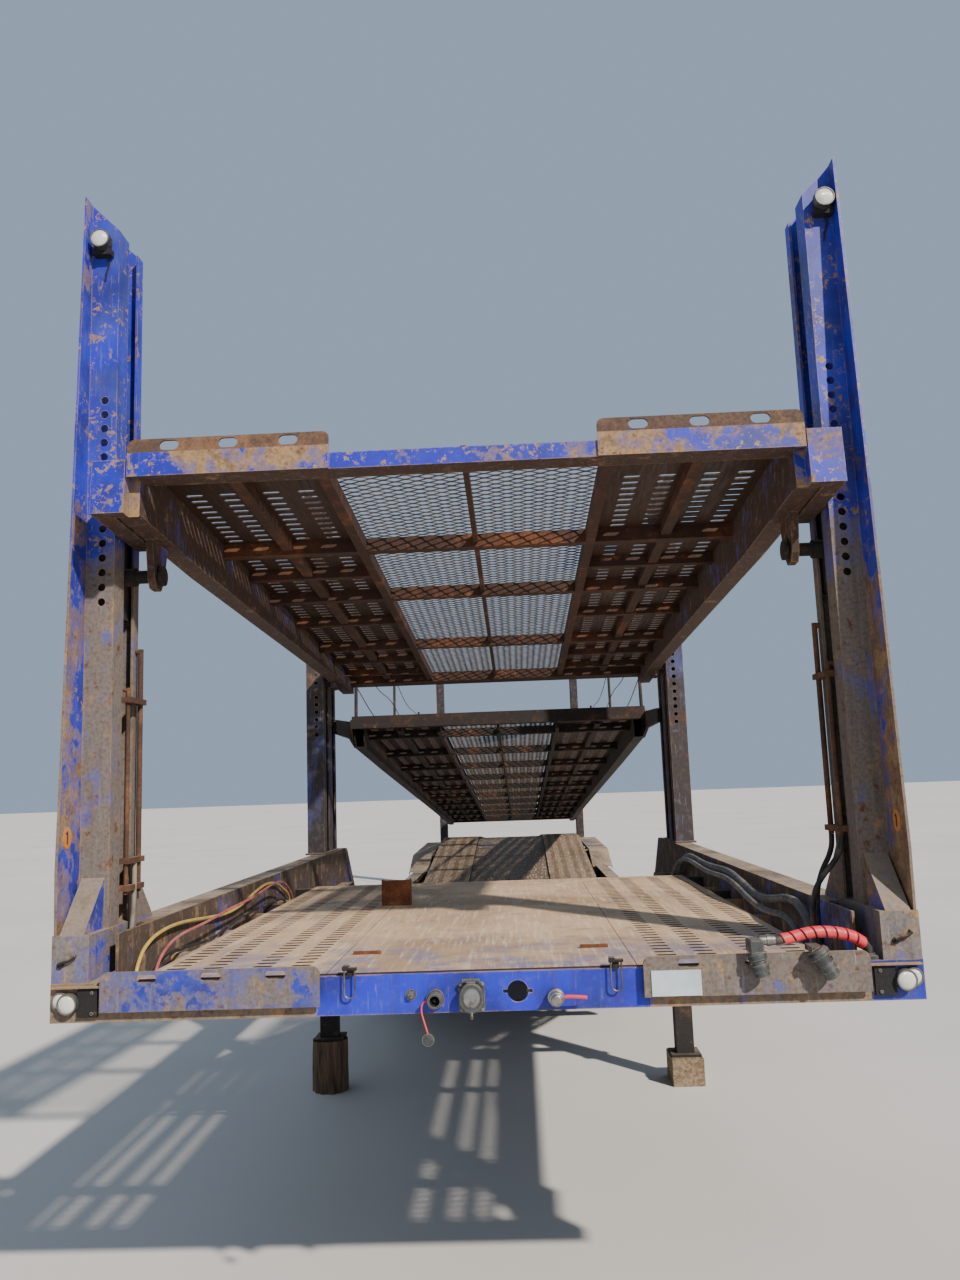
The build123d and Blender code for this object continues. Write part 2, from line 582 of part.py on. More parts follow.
def carriage(m, y, z, pin_r, x_in, headed=True):
    """Sliding block inside a mast channel, with its pin through the slot."""
    block = bx(m["x0"] + 20, m["x1"] - 20, m["y0"] + 20 if m is not MID_MAST_B else m["y0"] + 12, m["y1"] - 20,
               z - 140, z + 140)
    pin = rod_x(pin_r, x_in, m["x0"] + 20, y, z)
    if not headed:
        return join([block, pin])
    head = rod_x(pin_r + 11, x_in - 12, x_in, y, z)
    collar = rod_x(pin_r + 9, m["x0"] - 26, m["x0"] + 20, y, z)
    return join([block, pin, head, collar])


# ---------------------------------------------------------------- small fittings
def fittings():
    """Couplings and caps on the front beam, each on its own."""
    out = []
    out.append(join([rod_y(37, -34, 0, -28, 1149), rod_y(44, -12, 0, -28, 1149), bx(-50, -6, -30, 0, 1180, 1192)]))
    out.append(join([rod_y(17, -46, 0, -132, 1146), rod_y(26, -14, 0, -132, 1146)]))
    out.append(join([rod_y(15, -62, 0, 212, 1142), rod_y(24, -22, 0, 212, 1142), rod_y(20, -50, -30, 212, 1142)]))
    out.append(join([rod_y(11, -16, 0, -214, 1160)]))
    # elbow and coupling over the right-hand flap's edge, open end down
    out.append(join([bx(755, 797, -68, -4, 1252, 1290), bx(797, 836, -28, 4, 1265, 1297),
                     along_axis(22, 0, 26, (776, -50, 1262), (0.2, -0.1, -0.97)),
                     along_axis(19, 20, 84, (776, -50, 1262), (0.2, -0.1, -0.97))]))
    out.append(join([along_axis(25, 0, 14, (944, -52, 1254), (0.5, -0.05, -0.86)),
                     along_axis(21, 10, 80, (944, -52, 1254), (0.5, -0.05, -0.86)),
                     bx(926, 962, -70, 10, 1250, 1268)]))
    out.append(bx(1092, 1133, 2, 42, 1215, 1228))
    return out


def along_axis(r, a, b, origin, direction):
    """A cylinder from a to b along a direction."""
    d = Vector(*direction).normalized()
    plane = Plane(origin=Vector(*origin) + d * a, z_dir=d)
    return extrude(plane * Circle(r), amount=b - a)


def plates():
    """Two blank plates: one on the right-hand flap, one at the tail."""
    return [bx(483, 623, -29, -26, 1139, 1209), bx(-260, 260, 15110, 15113, 650, 762)]


def lamps():
    out = []
    for s in (-1, 1):
        out.append(rod_y(31, -24, 0, s * 1200, 1160))
        out.append(join([rod_y(27, -20, 60, s * 1232, 1160)]) & bx(-1250, 1250, -20, -0.5, 1100, 1200))
    for s, x, z in ((-1, -1197, 3600), (1, 1206, 3612)):
        out.append(join([rod_y(34, 92, 128, x, z), bx(x - 34, x + 34, 128, 150, z - 46, z - 6)]))
    return out


def rear_lamps():
    out = []
    for s in (-1, 1):
        x0, x1 = sorted((s * 880.0, s * 1210.0))
        out.append(bx(x0, x1, 15110, 15146, 655, 755))
        out.append(rod_y(26, 15110, 15136, s * 820, 705))
    return out


def underrun():
    bar = bx(-1180, 1180, 15120, REAR_END, 430, 540)
    arms = [bx(s * 620 - 40, s * 620 + 40, 15020, 15120, 430, 620) for s in (-1, 1)]
    return join([bar] + arms)


def ramps():
    out = []
    for s in (-1, 1):
        x0, x1 = sorted((s * 560.0, s * 960.0))
        out.append(bx(x0, x1, 13780, 14800, 664, 700))
    return out


# Routes of the hoses and cables: radius and the points of each, in millimetres.
LANYARD = (2.5, [(-149.6, -22, 1146), (-163, -24, 1143), (-172, -26, 1129), (-171, -27, 1110), (-165, -28, 1090),
                 (-159, -28, 1070), (-155, -28, 1056)])
RED_HOSE = (17.0, [(836, -12, 1281), (864, -12, 1281), (905, -8, 1291), (950, -4, 1300), (1000, 0, 1298),
                   (1040, 4, 1291), (1072, 9, 1280), (1098, 15, 1262), (1112, 20, 1242), (1112, 20, 1228)])
GREY_HOSES = [
    (14.0, [(1075, 3440, 1134), (1075, 3330, 1134), (1073, 3205, 1182), (1071, 3075, 1246), (1068, 2925, 1294),
            (1065, 2755, 1316), (1062, 2555, 1317), (1061, 2335, 1309), (1063, 2105, 1309), (1064, 1875, 1317),
            (1062, 1650, 1321), (1061, 1430, 1301), (1062, 1220, 1277), (1064, 1045, 1272), (1065, 880, 1289),
            (1065, 725, 1311), (1066, 590, 1312), (1066, 490, 1285), (1066, 420, 1234), (1066, 400, 1180),
            (1066, 400, 1134)]),
    (11.0, [(1037, 3440, 1133), (1037, 3345, 1133), (1035, 3220, 1172), (1033, 3080, 1226), (1031, 2910, 1274),
            (1030, 2710, 1301), (1030, 2490, 1306), (1031, 2270, 1297), (1031, 2050, 1290), (1030, 1830, 1296),
            (1030, 1610, 1303), (1030, 1390, 1290), (1031, 1180, 1260), (1032, 990, 1245), (1034, 820, 1249),
            (1035, 680, 1261), (1036, 560, 1252), (1036, 470, 1221), (1036, 412, 1177), (1036, 412, 1134)]),
]
BLACK_HOSES = [
    (8.5, [(1066, 325, 1134), (1066, 325, 1200), (1062, 327, 1268), (1062, 331, 1332), (1072, 336, 1392),
           (1094, 341, 1444), (1117, 345, 1480), (1130, 347, 1514), (1132, 347, 1551.3)]),
    (8.5, [(1041, 306, 1134), (1041, 306, 1205), (1036, 296, 1270), (1036, 284, 1334), (1046, 272, 1390),
           (1070, 260, 1430), (1096, 251, 1462), (1116, 246, 1490), (1128, 243.5, 1520), (1132, 243, 1550.7)]),
]
FOOT_HOSE = (8.0, [(-1126, 300, 1536), (-1126, 300, 1480), (-1124, 293, 1408), (-1127, 284, 1330), (-1126, 280, 1252),
                   (-1126, 280, 1180)])
LEFT_CABLES = [
    (6.0, [(-1085, 212, 1134), (-1085, 212, 1205), (-1084, 262, 1260), (-1082, 345, 1290), (-1080, 455, 1302),
           (-1080, 580, 1303), (-1081, 710, 1296), (-1082, 845, 1285), (-1082, 985, 1274), (-1081, 1125, 1264),
           (-1080, 1265, 1262), (-1079, 1400, 1270), (-1079, 1540, 1287), (-1080, 1680, 1305), (-1081, 1820, 1315),
           (-1082, 1960, 1311), (-1083, 2095, 1290), (-1083, 2215, 1251), (-1082, 2285, 1232), (-1082, 2330, 1200), (-1082, 2345, 1160), (-1082, 2345, 1134)]),
    (5.0, [(-1038, 246, 1134), (-1038, 246, 1190), (-1037, 300, 1238), (-1036, 385, 1267), (-1035, 490, 1279),
           (-1034, 610, 1281), (-1033, 735, 1282), (-1032, 860, 1286), (-1031, 985, 1292), (-1031, 1115, 1295),
           (-1030, 1240, 1296), (-1031, 1365, 1298), (-1031, 1490, 1304), (-1032, 1620, 1312), (-1033, 1750, 1319),
           (-1034, 1880, 1321), (-1034, 2005, 1305), (-1035, 2115, 1268), (-1036, 2185, 1228), (-1036, 2218, 1185), (-1036, 2230, 1157), (-1036, 2230, 1134)]),
    (5.0, [(-1059, 312, 1134), (-1059, 312, 1176), (-1058, 370, 1205), (-1057, 455, 1222), (-1056, 560, 1226),
           (-1055, 680, 1216), (-1055, 805, 1206), (-1056, 930, 1204), (-1057, 1055, 1210), (-1058, 1180, 1222),
           (-1058, 1310, 1232), (-1058, 1440, 1234), (-1057, 1570, 1234), (-1056, 1700, 1231), (-1056, 1830, 1226),
           (-1056, 1950, 1227), (-1057, 2060, 1221), (-1058, 2125, 1206), (-1058, 2165, 1181), (-1058, 2178, 1155),
           (-1058, 2178, 1134)]),
]


def pipes_and_clamps():
    """Rigid hydraulic pipes on the front masts' inner faces, their clamps, and the blocks the hoses end in."""
    out = []
    for s in (-1, 1):
        parts = []
        low = 1440.0 if s < 0 else 1552.0
        for y, r, z1 in ((243.0, 7.0, 2100.0), (347.0, 9.0, 2240.0)):
            parts.append(rod_z(r, low, z1, s * 1132, y))
        for z in ((1460.0, 1545.0, 2060.0) if s < 0 else (1572.0, 2060.0)):
            if z == 1460.0:
                parts += [bx(s * 1149, s * 1116, 228, 284, z - 9, z + 9), bx(s * 1149, s * 1116, 318, 362, z - 9, z + 9)]
            else:
                parts.append(bx(s * 1149, s * 1116, 228, 362, z - 9, z + 9))
        parts.append(rod_x(7.0, s * 1128, s * 1149, 243, 2093))
        parts.append(rod_x(9.0, s * 1126, s * 1149, 347, 2231))
        out.append(join(parts))
    out += [bx(1022, 1098, 300, 424, 1113, 1134), bx(1022, 1098, 3440, 3520, 1113, 1158),
            bx(-1098, -1022, 180, 330, 1113, 1134), bx(-1098, -1022, 2160, 2380, 1113, 1134),
            bx(-1142, -1108, 262, 298, 1142, 1180)]
    return out


def tubes(name, rows):
    out = []
    for r, pts in rows:
        tube, length, rmin = route(pts, r)
        print(name, "length", round(length), "smallest radius", round(rmin), "volume ratio",
              round(tube.volume / (3.14159265 * r * r * length), 4))
        out.append(tube)
    save(name, out)


# ================================================================ build
def main():
    flaps = []
    for s in (-1, 1):
        x0, x1 = sorted((s * 462.0, s * 1100.0))
        xs = [s * x for x in (590, 778, 965)]
        flaps.append(join([flap(x0, x1, -18, 1136, 1248, xs, 1227, slot_l=60, slot_h=23),
                           bx(x0 + 20, x1 - 20, -18, 0, 1140, 1152), bx(x0 + 20, x1 - 20, -18, 0, 1196, 1210)]))
    save("front_crossbeam", front_crossbeam())
    save("front_flap_plates", flaps)
    save("neck_side_rails", both(neck_side_rail()))
    save("side_girders", both(side_girder()) + both(tail_rail()))
    save("inner_girders", both(inner_girder()))
    save("frame_crossmembers", frame_crossmembers_cut())
    save("coupling_plate", coupling_plate())
    save("kingpin", kingpin())
    save("neck_centre_plate", bx(-RUN_IN + 2, RUN_IN - 2, 14, NECK_END, NECK_Z - PLATE_T, NECK_Z))
    save("neck_runways", both(bx(RUN_IN, RUN_OUT, 14, NECK_END, NECK_Z - PLATE_T, NECK_Z)))
    save("lower_runways", both(lower_runway()))
    save("lower_centre_plate", lower_centre())
    fm, mm, rm = front_mast(), mid_mast(), rear_mast()
    for name, shape in (("front_mast", fm), ("mid_mast", mm), ("rear_mast", rm)):
        save(name + "_right", shape)
        save(name + "_left", mirror(shape, about=Plane.YZ))
    save("landing_legs", join([landing_leg(-1, LOG_TOP), landing_leg(1, BLOCK_TOP), leg_brace()]))
    save("support_log", rod_z(108, 0, LOG_TOP, -LEG_X, LEG_Y))
    save("support_block", bx(LEG_X - 90, LEG_X + 90, LEG_Y - 125, LEG_Y + 125, 0, BLOCK_TOP))
    for name, y in zip(("axle_front", "axle_rear"), AXLES_Y):
        for side, word in ((-1, "left"), (1, "right")):
            tyres, metal = wheel_solids(side, y)
            save("tyres_" + name[5:] + "_" + word, tyres)
            save("wheel_" + name[5:] + "_" + word, metal)
    save("axles", [axle(y) for y in AXLES_Y])
    hang = []
    for y in AXLES_Y:
        for s in (-1, 1):
            hang += [hanger(y, s * 485), air_spring(y, s * 485)]
    save("suspension", hang)
    save("mudguards", both(mudguard()))
    save("rear_crossbeam", rear_crossbeam())
    save("underrun_bar", underrun())
    save("loading_ramps", ramps())
    save("front_fittings", fittings())
    save("blank_plates", plates())
    save("lamps", lamps())
    save("rear_lamps", rear_lamps())
    save("deck_bracket", deck_bracket())
    beams, front, grid, ways, mesh = front_deck()
    save("front_deck_side_beams", beams)
    save("front_deck_front_beam", front)
    save("front_deck_grid", grid)
    save("front_deck_runways", ways)
    save("front_deck_mesh", mesh)
    beams, front, grid, ways, mesh, posts = rear_deck()
    save("rear_deck_side_beams", beams)
    save("rear_deck_front_beam", front)
    save("rear_deck_grid", grid)
    save("rear_deck_runways", ways)
    save("rear_deck_mesh", mesh)
    save("handrail_posts", posts)
    save("handrail_ropes", handrail_ropes())
    save("front_carriages", both(carriage(FRONT_MAST, FD_PIN_Y, FD_PIN_Z, 22.0, 1040)))
    save("rear_carriages", both(carriage(MID_MAST_B, RD_PIN_Y, RD_PIN_Z, 20.0, 1083, headed=False)))
    tubes("cap_lanyard", [LANYARD])
    save("lanyard_cap", rod_y(17, -34, -22, -154, 1039))
    tubes("red_spiral_hose", [RED_HOSE])
    tubes("right_hoses", GREY_HOSES + BLACK_HOSES)
    tubes("left_cables", LEFT_CABLES + [FOOT_HOSE])
    save("pipes_and_clamps", pipes_and_clamps())


def frame_crossmembers_cut():
    """Cross members stop at the inner girders' sides, so nothing overlaps."""
    out = []
    for bar in frame_crossmembers():
        rest = bar - bx(-515, -455, 0, 16000, 400, 1300) - bx(455, 515, 0, 16000, 400, 1300)
        out += list(rest.solids())
    return out


def coupling_plate():
    plate = bx(-515, 515, 560, 1830, BEAM_Z0 - 5, BEAM_Z0 + 5)
    return plate - rod_z(36.5, 1050, 1150, 0, KINGPIN_Y)


KINGPIN_Y = 1180.0


def kingpin():
    """2 inch pin: collar, waist and head below the coupling plate."""
    return join([rod_z(36.5, BEAM_Z0 - 5, BEAM_Z0 + 5, 0, KINGPIN_Y), rod_z(60, BEAM_Z0 + 5, BEAM_Z0 + 15, 0, KINGPIN_Y),
                 rod_z(36.5, BEAM_Z0 - 28, BEAM_Z0 - 5, 0, KINGPIN_Y), rod_z(25.4, BEAM_Z0 - 66, BEAM_Z0 - 28, 0, KINGPIN_Y),
                 rod_z(35.7, BEAM_Z0 - 89, BEAM_Z0 - 66, 0, KINGPIN_Y)])


def deck_bracket():
    """Upright rusty box left of the middle of the neck deck."""
    x0, x1, y0, y1, z0, z1 = -505.0, -375.0, 1640.0, 1700.0, NECK_Z, NECK_Z + 112
    return join([bx(x0, x1, y0, y0 + 6, z0, z1), bx(x0, x0 + 6, y0, y1, z0, z1), bx(x1 - 6, x1, y0, y1, z0, z1)])


main()
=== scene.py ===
import bpy
import random
from math import atan2, cos, hypot, pi, radians, sin
from mathutils import Matrix, Vector


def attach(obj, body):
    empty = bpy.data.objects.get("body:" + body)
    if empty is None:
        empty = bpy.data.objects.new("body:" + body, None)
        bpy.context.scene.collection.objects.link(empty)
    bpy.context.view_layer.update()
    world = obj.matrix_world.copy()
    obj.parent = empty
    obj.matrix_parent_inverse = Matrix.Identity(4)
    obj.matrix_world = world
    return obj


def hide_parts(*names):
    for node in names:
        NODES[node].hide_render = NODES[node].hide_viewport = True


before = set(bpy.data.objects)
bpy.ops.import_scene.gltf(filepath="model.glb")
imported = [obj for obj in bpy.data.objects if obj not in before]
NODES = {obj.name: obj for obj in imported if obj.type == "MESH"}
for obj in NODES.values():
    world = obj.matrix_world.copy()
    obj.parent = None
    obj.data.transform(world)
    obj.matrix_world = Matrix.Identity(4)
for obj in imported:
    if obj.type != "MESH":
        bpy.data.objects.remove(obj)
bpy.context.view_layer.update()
SCENE = bpy.context.scene
RND = random.Random(7)

# Lengths below are in metres, with y counted from the front beam's face; Y() puts it in the row frame.
Y_MID = 7.560871


def Y(y):
    return y - Y_MID


# ------------------------------------------------------------------ camera
def camera():
    yaw, pitch, roll = radians(-1.82), radians(8.13), radians(-2.01)
    fwd = Vector((sin(yaw) * cos(pitch), cos(yaw) * cos(pitch), sin(pitch)))
    right = Vector((cos(yaw), -sin(yaw), 0.0))
    up = right.cross(fwd)
    r = right * cos(roll) + up * sin(roll)
    u = up * cos(roll) - right * sin(roll)
    data = bpy.data.cameras.new("camera")
    data.sensor_width, data.lens = 36.0, 28.27
    data.clip_start, data.clip_end = 0.05, 500.0
    ob = bpy.data.objects.new("camera", data)
    m = Matrix((r, u, -fwd)).transposed().to_4x4()
    m.translation = Vector((0.126, Y(-2.991), 1.75))
    ob.matrix_world = m
    SCENE.collection.objects.link(ob)
    SCENE.camera = ob


# ------------------------------------------------------------------ cords
def spline_curve(name, points, radius, order=3, resolution=10, bevel=4):
    data = bpy.data.curves.new(name, "CURVE")
    data.dimensions = "3D"
    s = data.splines.new("NURBS")
    s.points.add(len(points) - 1)
    for p, q in zip(s.points, points):
        p.co = (q[0], q[1], q[2], 1.0)
    s.order_u = order
    s.use_endpoint_u = True
    s.resolution_u = resolution
    data.bevel_depth = radius
    data.bevel_resolution = bevel
    data.use_fill_caps = True
    ob = bpy.data.objects.new(name, data)
    SCENE.collection.objects.link(ob)
    return ob


def route_line(points, resolution=12):
    """Points along the NURBS line of a route, with no bevel."""
    ob = spline_curve("line_of_route", points, 0.0, resolution=resolution)
    dg = bpy.context.evaluated_depsgraph_get()
    me = bpy.data.meshes.new_from_object(ob.evaluated_get(dg))
    out = [v.co.copy() for v in me.vertices]
    bpy.data.objects.remove(ob)
    bpy.data.meshes.remove(me)
    return out


def mm(points):
    return [(x / 1000, Y(y / 1000), z / 1000) for x, y, z in points]


LANYARD = mm([(-149.6, -22, 1146), (-163, -24, 1143), (-172, -26, 1129), (-171, -27, 1110), (-165, -28, 1090),
              (-159, -28, 1070), (-155, -28, 1056)])
RED_HOSE = mm([(836, -12, 1281), (864, -12, 1281), (905, -8, 1291), (950, -4, 1300), (1000, 0, 1298),
               (1040, 4, 1291), (1072, 9, 1280), (1098, 15, 1262), (1112, 20, 1242), (1112, 20, 1228)])


# ------------------------------------------------------------------ materials
def srgb(r, g, b):
    out = []
    for v in (r, g, b):
        v /= 255.0
        out.append(v / 12.92 if v <= 0.04045 else ((v + 0.055) / 1.055) ** 2.4)
    return (out[0], out[1], out[2], 1.0)


class Mat:
    def __init__(self, name):
        self.mat = bpy.data.materials.new(name)
        self.mat.use_nodes = True
        self.t = self.mat.node_tree
        self.t.nodes.clear()
        out = self.add("OutputMaterial")
        self.bsdf = self.add("BsdfPrincipled")
        self.t.links.new(self.bsdf.outputs[0], out.inputs[0])
        self.pos = self.add("TexCoord").outputs["Object"]
        s = self.add("SeparateXYZ")
        self.t.links.new(self.pos, s.inputs[0])
        self.x, self.y, self.z = s.outputs

    def add(self, kind, **props):
        n = self.t.nodes.new("ShaderNode" + kind)
        for k, v in props.items():
            setattr(n, k, v)
        return n

    def put(self, sock, val):
        if isinstance(val, bpy.types.NodeSocket):
            self.t.links.new(val, sock)
        else:
            sock.default_value = val

    def math(self, op, a, b=0.0, clamp=False):
        n = self.add("Math", operation=op, use_clamp=clamp)
        self.put(n.inputs[0], a)
        self.put(n.inputs[1], b)
        return n.outputs[0]

    def mix(self, f, a, b, mode="MIX"):
        n = self.add("Mix", data_type="RGBA", blend_type=mode)
        self.put(n.inputs[0], f)
        self.put(n.inputs[6], a)
        self.put(n.inputs[7], b)
        return n.outputs[2]

    def step(self, f, lo, hi, a=0.0, b=1.0):
        n = self.add("MapRange", interpolation_type="SMOOTHSTEP")
        for i, v in enumerate((f, lo, hi, a, b)):
            self.put(n.inputs[i], v)
        return n.outputs[0]

    def at(self, sx=1.0, sy=1.0, sz=1.0, shift=0.0):
        n = self.add("Mapping")
        self.put(n.inputs[0], self.pos)
        n.inputs[1].default_value = (shift, shift * 1.7, shift * 0.6)
        n.inputs[3].default_value = (sx, sy, sz)
        return n.outputs[0]

    def noise(self, scale, detail=4.0, rough=0.55, dist=0.0, at=None):
        n = self.add("TexNoise")
        self.put(n.inputs["Vector"], at or self.pos)
        n.inputs["Scale"].default_value = scale
        n.inputs["Detail"].default_value = detail
        n.inputs["Roughness"].default_value = rough
        n.inputs["Distortion"].default_value = dist
        return n.outputs[0]

    def cells(self, scale, at=None, feature="F1"):
        n = self.add("TexVoronoi", feature=feature)
        self.put(n.inputs["Vector"], at or self.pos)
        n.inputs["Scale"].default_value = scale
        return n.outputs["Distance"]

    def normal_z(self):
        s = self.add("SeparateXYZ")
        self.t.links.new(self.add("NewGeometry").outputs["Normal"], s.inputs[0])
        return s.outputs[2]

    def edge(self, r=0.005):
        """1 at a sharp edge, 0 on a flat face."""
        bev = self.add("Bevel", samples=4)
        bev.inputs[0].default_value = r
        geo = self.add("NewGeometry")
        d = self.add("VectorMath", operation="DOT_PRODUCT")
        self.t.links.new(bev.outputs[0], d.inputs[0])
        self.t.links.new(geo.outputs["Normal"], d.inputs[1])
        return self.step(d.outputs["Value"], 0.995, 0.82)

    def bump(self, h, strength=0.3, dist=0.002):
        n = self.add("Bump")
        n.inputs["Strength"].default_value = strength
        n.inputs["Distance"].default_value = dist
        self.put(n.inputs["Height"], h)
        self.t.links.new(n.outputs[0], self.bsdf.inputs["Normal"])

    def done(self, colour, rough=0.6, metal=0.0, **more):
        self.put(self.bsdf.inputs["Base Color"], colour)
        self.put(self.bsdf.inputs["Roughness"], rough)
        self.put(self.bsdf.inputs["Metallic"], metal)
        for k, v in more.items():
            self.put(self.bsdf.inputs[k.replace("_", " ")], v)
        return self.mat


BLUE = srgb(38, 50, 190)
BLUE_DARK = srgb(30, 36, 126)
GREY_BLUE = srgb(92, 100, 138)
PATINA = srgb(106, 92, 80)
TAN = srgb(158, 127, 90)
RUST = srgb(104, 58, 30)
DARK_RUST = srgb(58, 34, 22)
DUST = srgb(170, 150, 126)


def worn_paint(name, paint=BLUE, amount=0.5, size=2.2, tan=0.45, freckles=0.35, faded=0.35, zone=None, edge=True,
               bare=PATINA, dirt=0.4, rough=0.52, edge_col=None, veiled=1.0):
    """Blue paint that has gone to brown patina, tan flakes and rust. amount is how much paint is left."""
    m = Mat(name)
    big = m.noise(size, 6.0, 0.6, 0.4)
    mid = m.noise(size * 7.3, 5.0, 0.62, 0.2, m.at(shift=3.1))
    fine = m.noise(90.0, 3.0, 0.6)
    f = m.math("ADD", m.math("MULTIPLY", big, 0.72), m.math("MULTIPLY", mid, 0.28))
    if zone is not None:
        f = m.math("ADD", f, zone(m))
    left = m.step(f, 0.5 + (0.5 - amount) * 0.36 - 0.012, 0.5 + (0.5 - amount) * 0.36 + 0.02)
    shade = m.mix(m.step(m.noise(size * 1.9, 4.0, 0.5, at=m.at(shift=8.0)), 0.35, 0.7), paint, BLUE_DARK)
    shade = m.mix(m.math("MULTIPLY", m.step(m.noise(size * 3.1, 5.0, at=m.at(shift=5.0)), 0.42, 0.75), faded), shade,
                  GREY_BLUE)
    brown = m.mix(m.step(m.noise(size * 4.2, 6.0, 0.65, at=m.at(shift=12.0)), 0.62 - tan * 0.4, 0.8 - tan * 0.35), bare,
                  TAN)
    brown = m.mix(m.step(m.noise(size * 9.0, 6.0, 0.7, at=m.at(shift=17.0)), 0.56, 0.68), brown, RUST)
    brown = m.mix(m.step(fine, 0.35, 0.75, 0.0, 0.45), brown, DARK_RUST)
    # where the paint is thin it is grey-blue over the brown, streaked down the face
    lim = 0.5 + (0.5 - amount) * 0.36
    streak = m.noise(9.0, 5.0, 0.6, 0.3, m.at(3.0, 3.0, 0.5, 37.0))
    thin = m.step(m.math("ADD", f, m.math("MULTIPLY", m.math("SUBTRACT", streak, 0.5), 0.30)), lim - 0.10, lim + 0.01)
    brown = m.mix(m.math("MULTIPLY", thin, 0.62), brown, m.mix(0.45, GREY_BLUE, paint))
    col = m.mix(left, brown, shade)
    # flakes and scratches in the paint: soft tan specks of uneven size, and thin runs of rust
    speck = m.noise(46.0, 5.0, 0.7, 0.6, m.at(shift=2.0))
    gate = m.step(m.noise(size * 2.6, 3.0, at=m.at(shift=21.0)), 0.66 - freckles * 0.35, 0.76 - freckles * 0.35)
    col = m.mix(m.math("MULTIPLY", m.step(speck, 0.555, 0.61), m.math("MULTIPLY", gate, left)), col, TAN)
    col = m.mix(m.math("MULTIPLY", m.step(speck, 0.64, 0.70), gate), col, RUST)
    veil = m.noise(size * 12.0, 6.0, 0.72, 0.3, m.at(shift=31.0))
    col = m.mix(m.step(veil, 0.50, 0.72, 0.0, 0.42 * veiled), col, srgb(118, 110, 108))
    scratch = m.noise(26.0, 4.0, 0.6, 0.2, m.at(5.0, 5.0, 0.35, 15.0))
    col = m.mix(m.step(scratch, 0.60, 0.70, 0.0, 0.45 * veiled), col, srgb(150, 146, 150))
    if edge:
        worn = m.math("MULTIPLY", m.edge(0.006), m.step(mid, 0.36, 0.56))
        col = m.mix(m.math("MULTIPLY", worn, 0.85), col, edge_col or TAN)
    # dust lies on faces that look up, dirt runs down the others
    up = m.step(m.normal_z(), 0.45, 0.95)
    col = m.mix(m.math("MULTIPLY", up, m.step(m.noise(3.3, 5.0), 0.3, 0.62, 0.2, 0.85)), col, DUST)
    runs = m.noise(5.0, 4.0, 0.5, at=m.at(7.0, 7.0, 0.5, 4.0))
    col = m.mix(m.math("MULTIPLY", m.step(runs, 0.5, 0.72), dirt), col, srgb(62, 52, 46))
    r = m.mix(left, (0.86, 0.86, 0.86, 1), (rough, rough, rough, 1))
    h = m.math("ADD", m.math("MULTIPLY", left, 0.35), m.math("MULTIPLY", fine, 0.5))
    m.bump(h, 0.35, 0.0012)
    return m.done(col, r, 0.0)


def rusty(name, base=DARK_RUST, light=RUST, amount=0.45, blue=0.0, dust=0.5, streak=0.3):
    m = Mat(name)
    a = m.noise(2.7, 6.0, 0.62, 0.3)
    b = m.noise(16.0, 6.0, 0.65, at=m.at(shift=4.0))
    fine = m.noise(120.0, 3.0, 0.65)
    f = m.math("ADD", m.math("MULTIPLY", a, 0.6), m.math("MULTIPLY", b, 0.4))
    col = m.mix(m.step(f, 0.62 - amount * 0.3, 0.74 - amount * 0.22), base, light)
    col = m.mix(m.step(b, 0.58, 0.74, 0.0, 0.7), col, srgb(126, 84, 52))
    if blue > 0:
        gate = m.step(m.noise(3.4, 5.0, 0.55, at=m.at(shift=9.0)), 0.62 - blue * 0.25, 0.67 - blue * 0.25)
        col = m.mix(gate, col, BLUE_DARK)
    col = m.mix(m.step(fine, 0.4, 0.8, 0.0, 0.5), col, srgb(30, 20, 15))
    up = m.step(m.normal_z(), 0.45, 0.95)
    col = m.mix(m.math("MULTIPLY", up, m.step(a, 0.3, 0.6, 0.3 * dust, dust)), col, DUST)
    runs = m.noise(6.0, 4.0, 0.5, at=m.at(8.0, 8.0, 0.45, 7.0))
    col = m.mix(m.step(runs, 0.5, 0.75, 0.0, streak), col, srgb(34, 24, 18))
    m.bump(m.math("ADD", m.math("MULTIPLY", fine, 0.6), m.math("MULTIPLY", b, 0.8)), 0.4, 0.0015)
    return m.done(col, m.step(fine, 0.2, 0.8, 0.72, 0.95), 0.0)


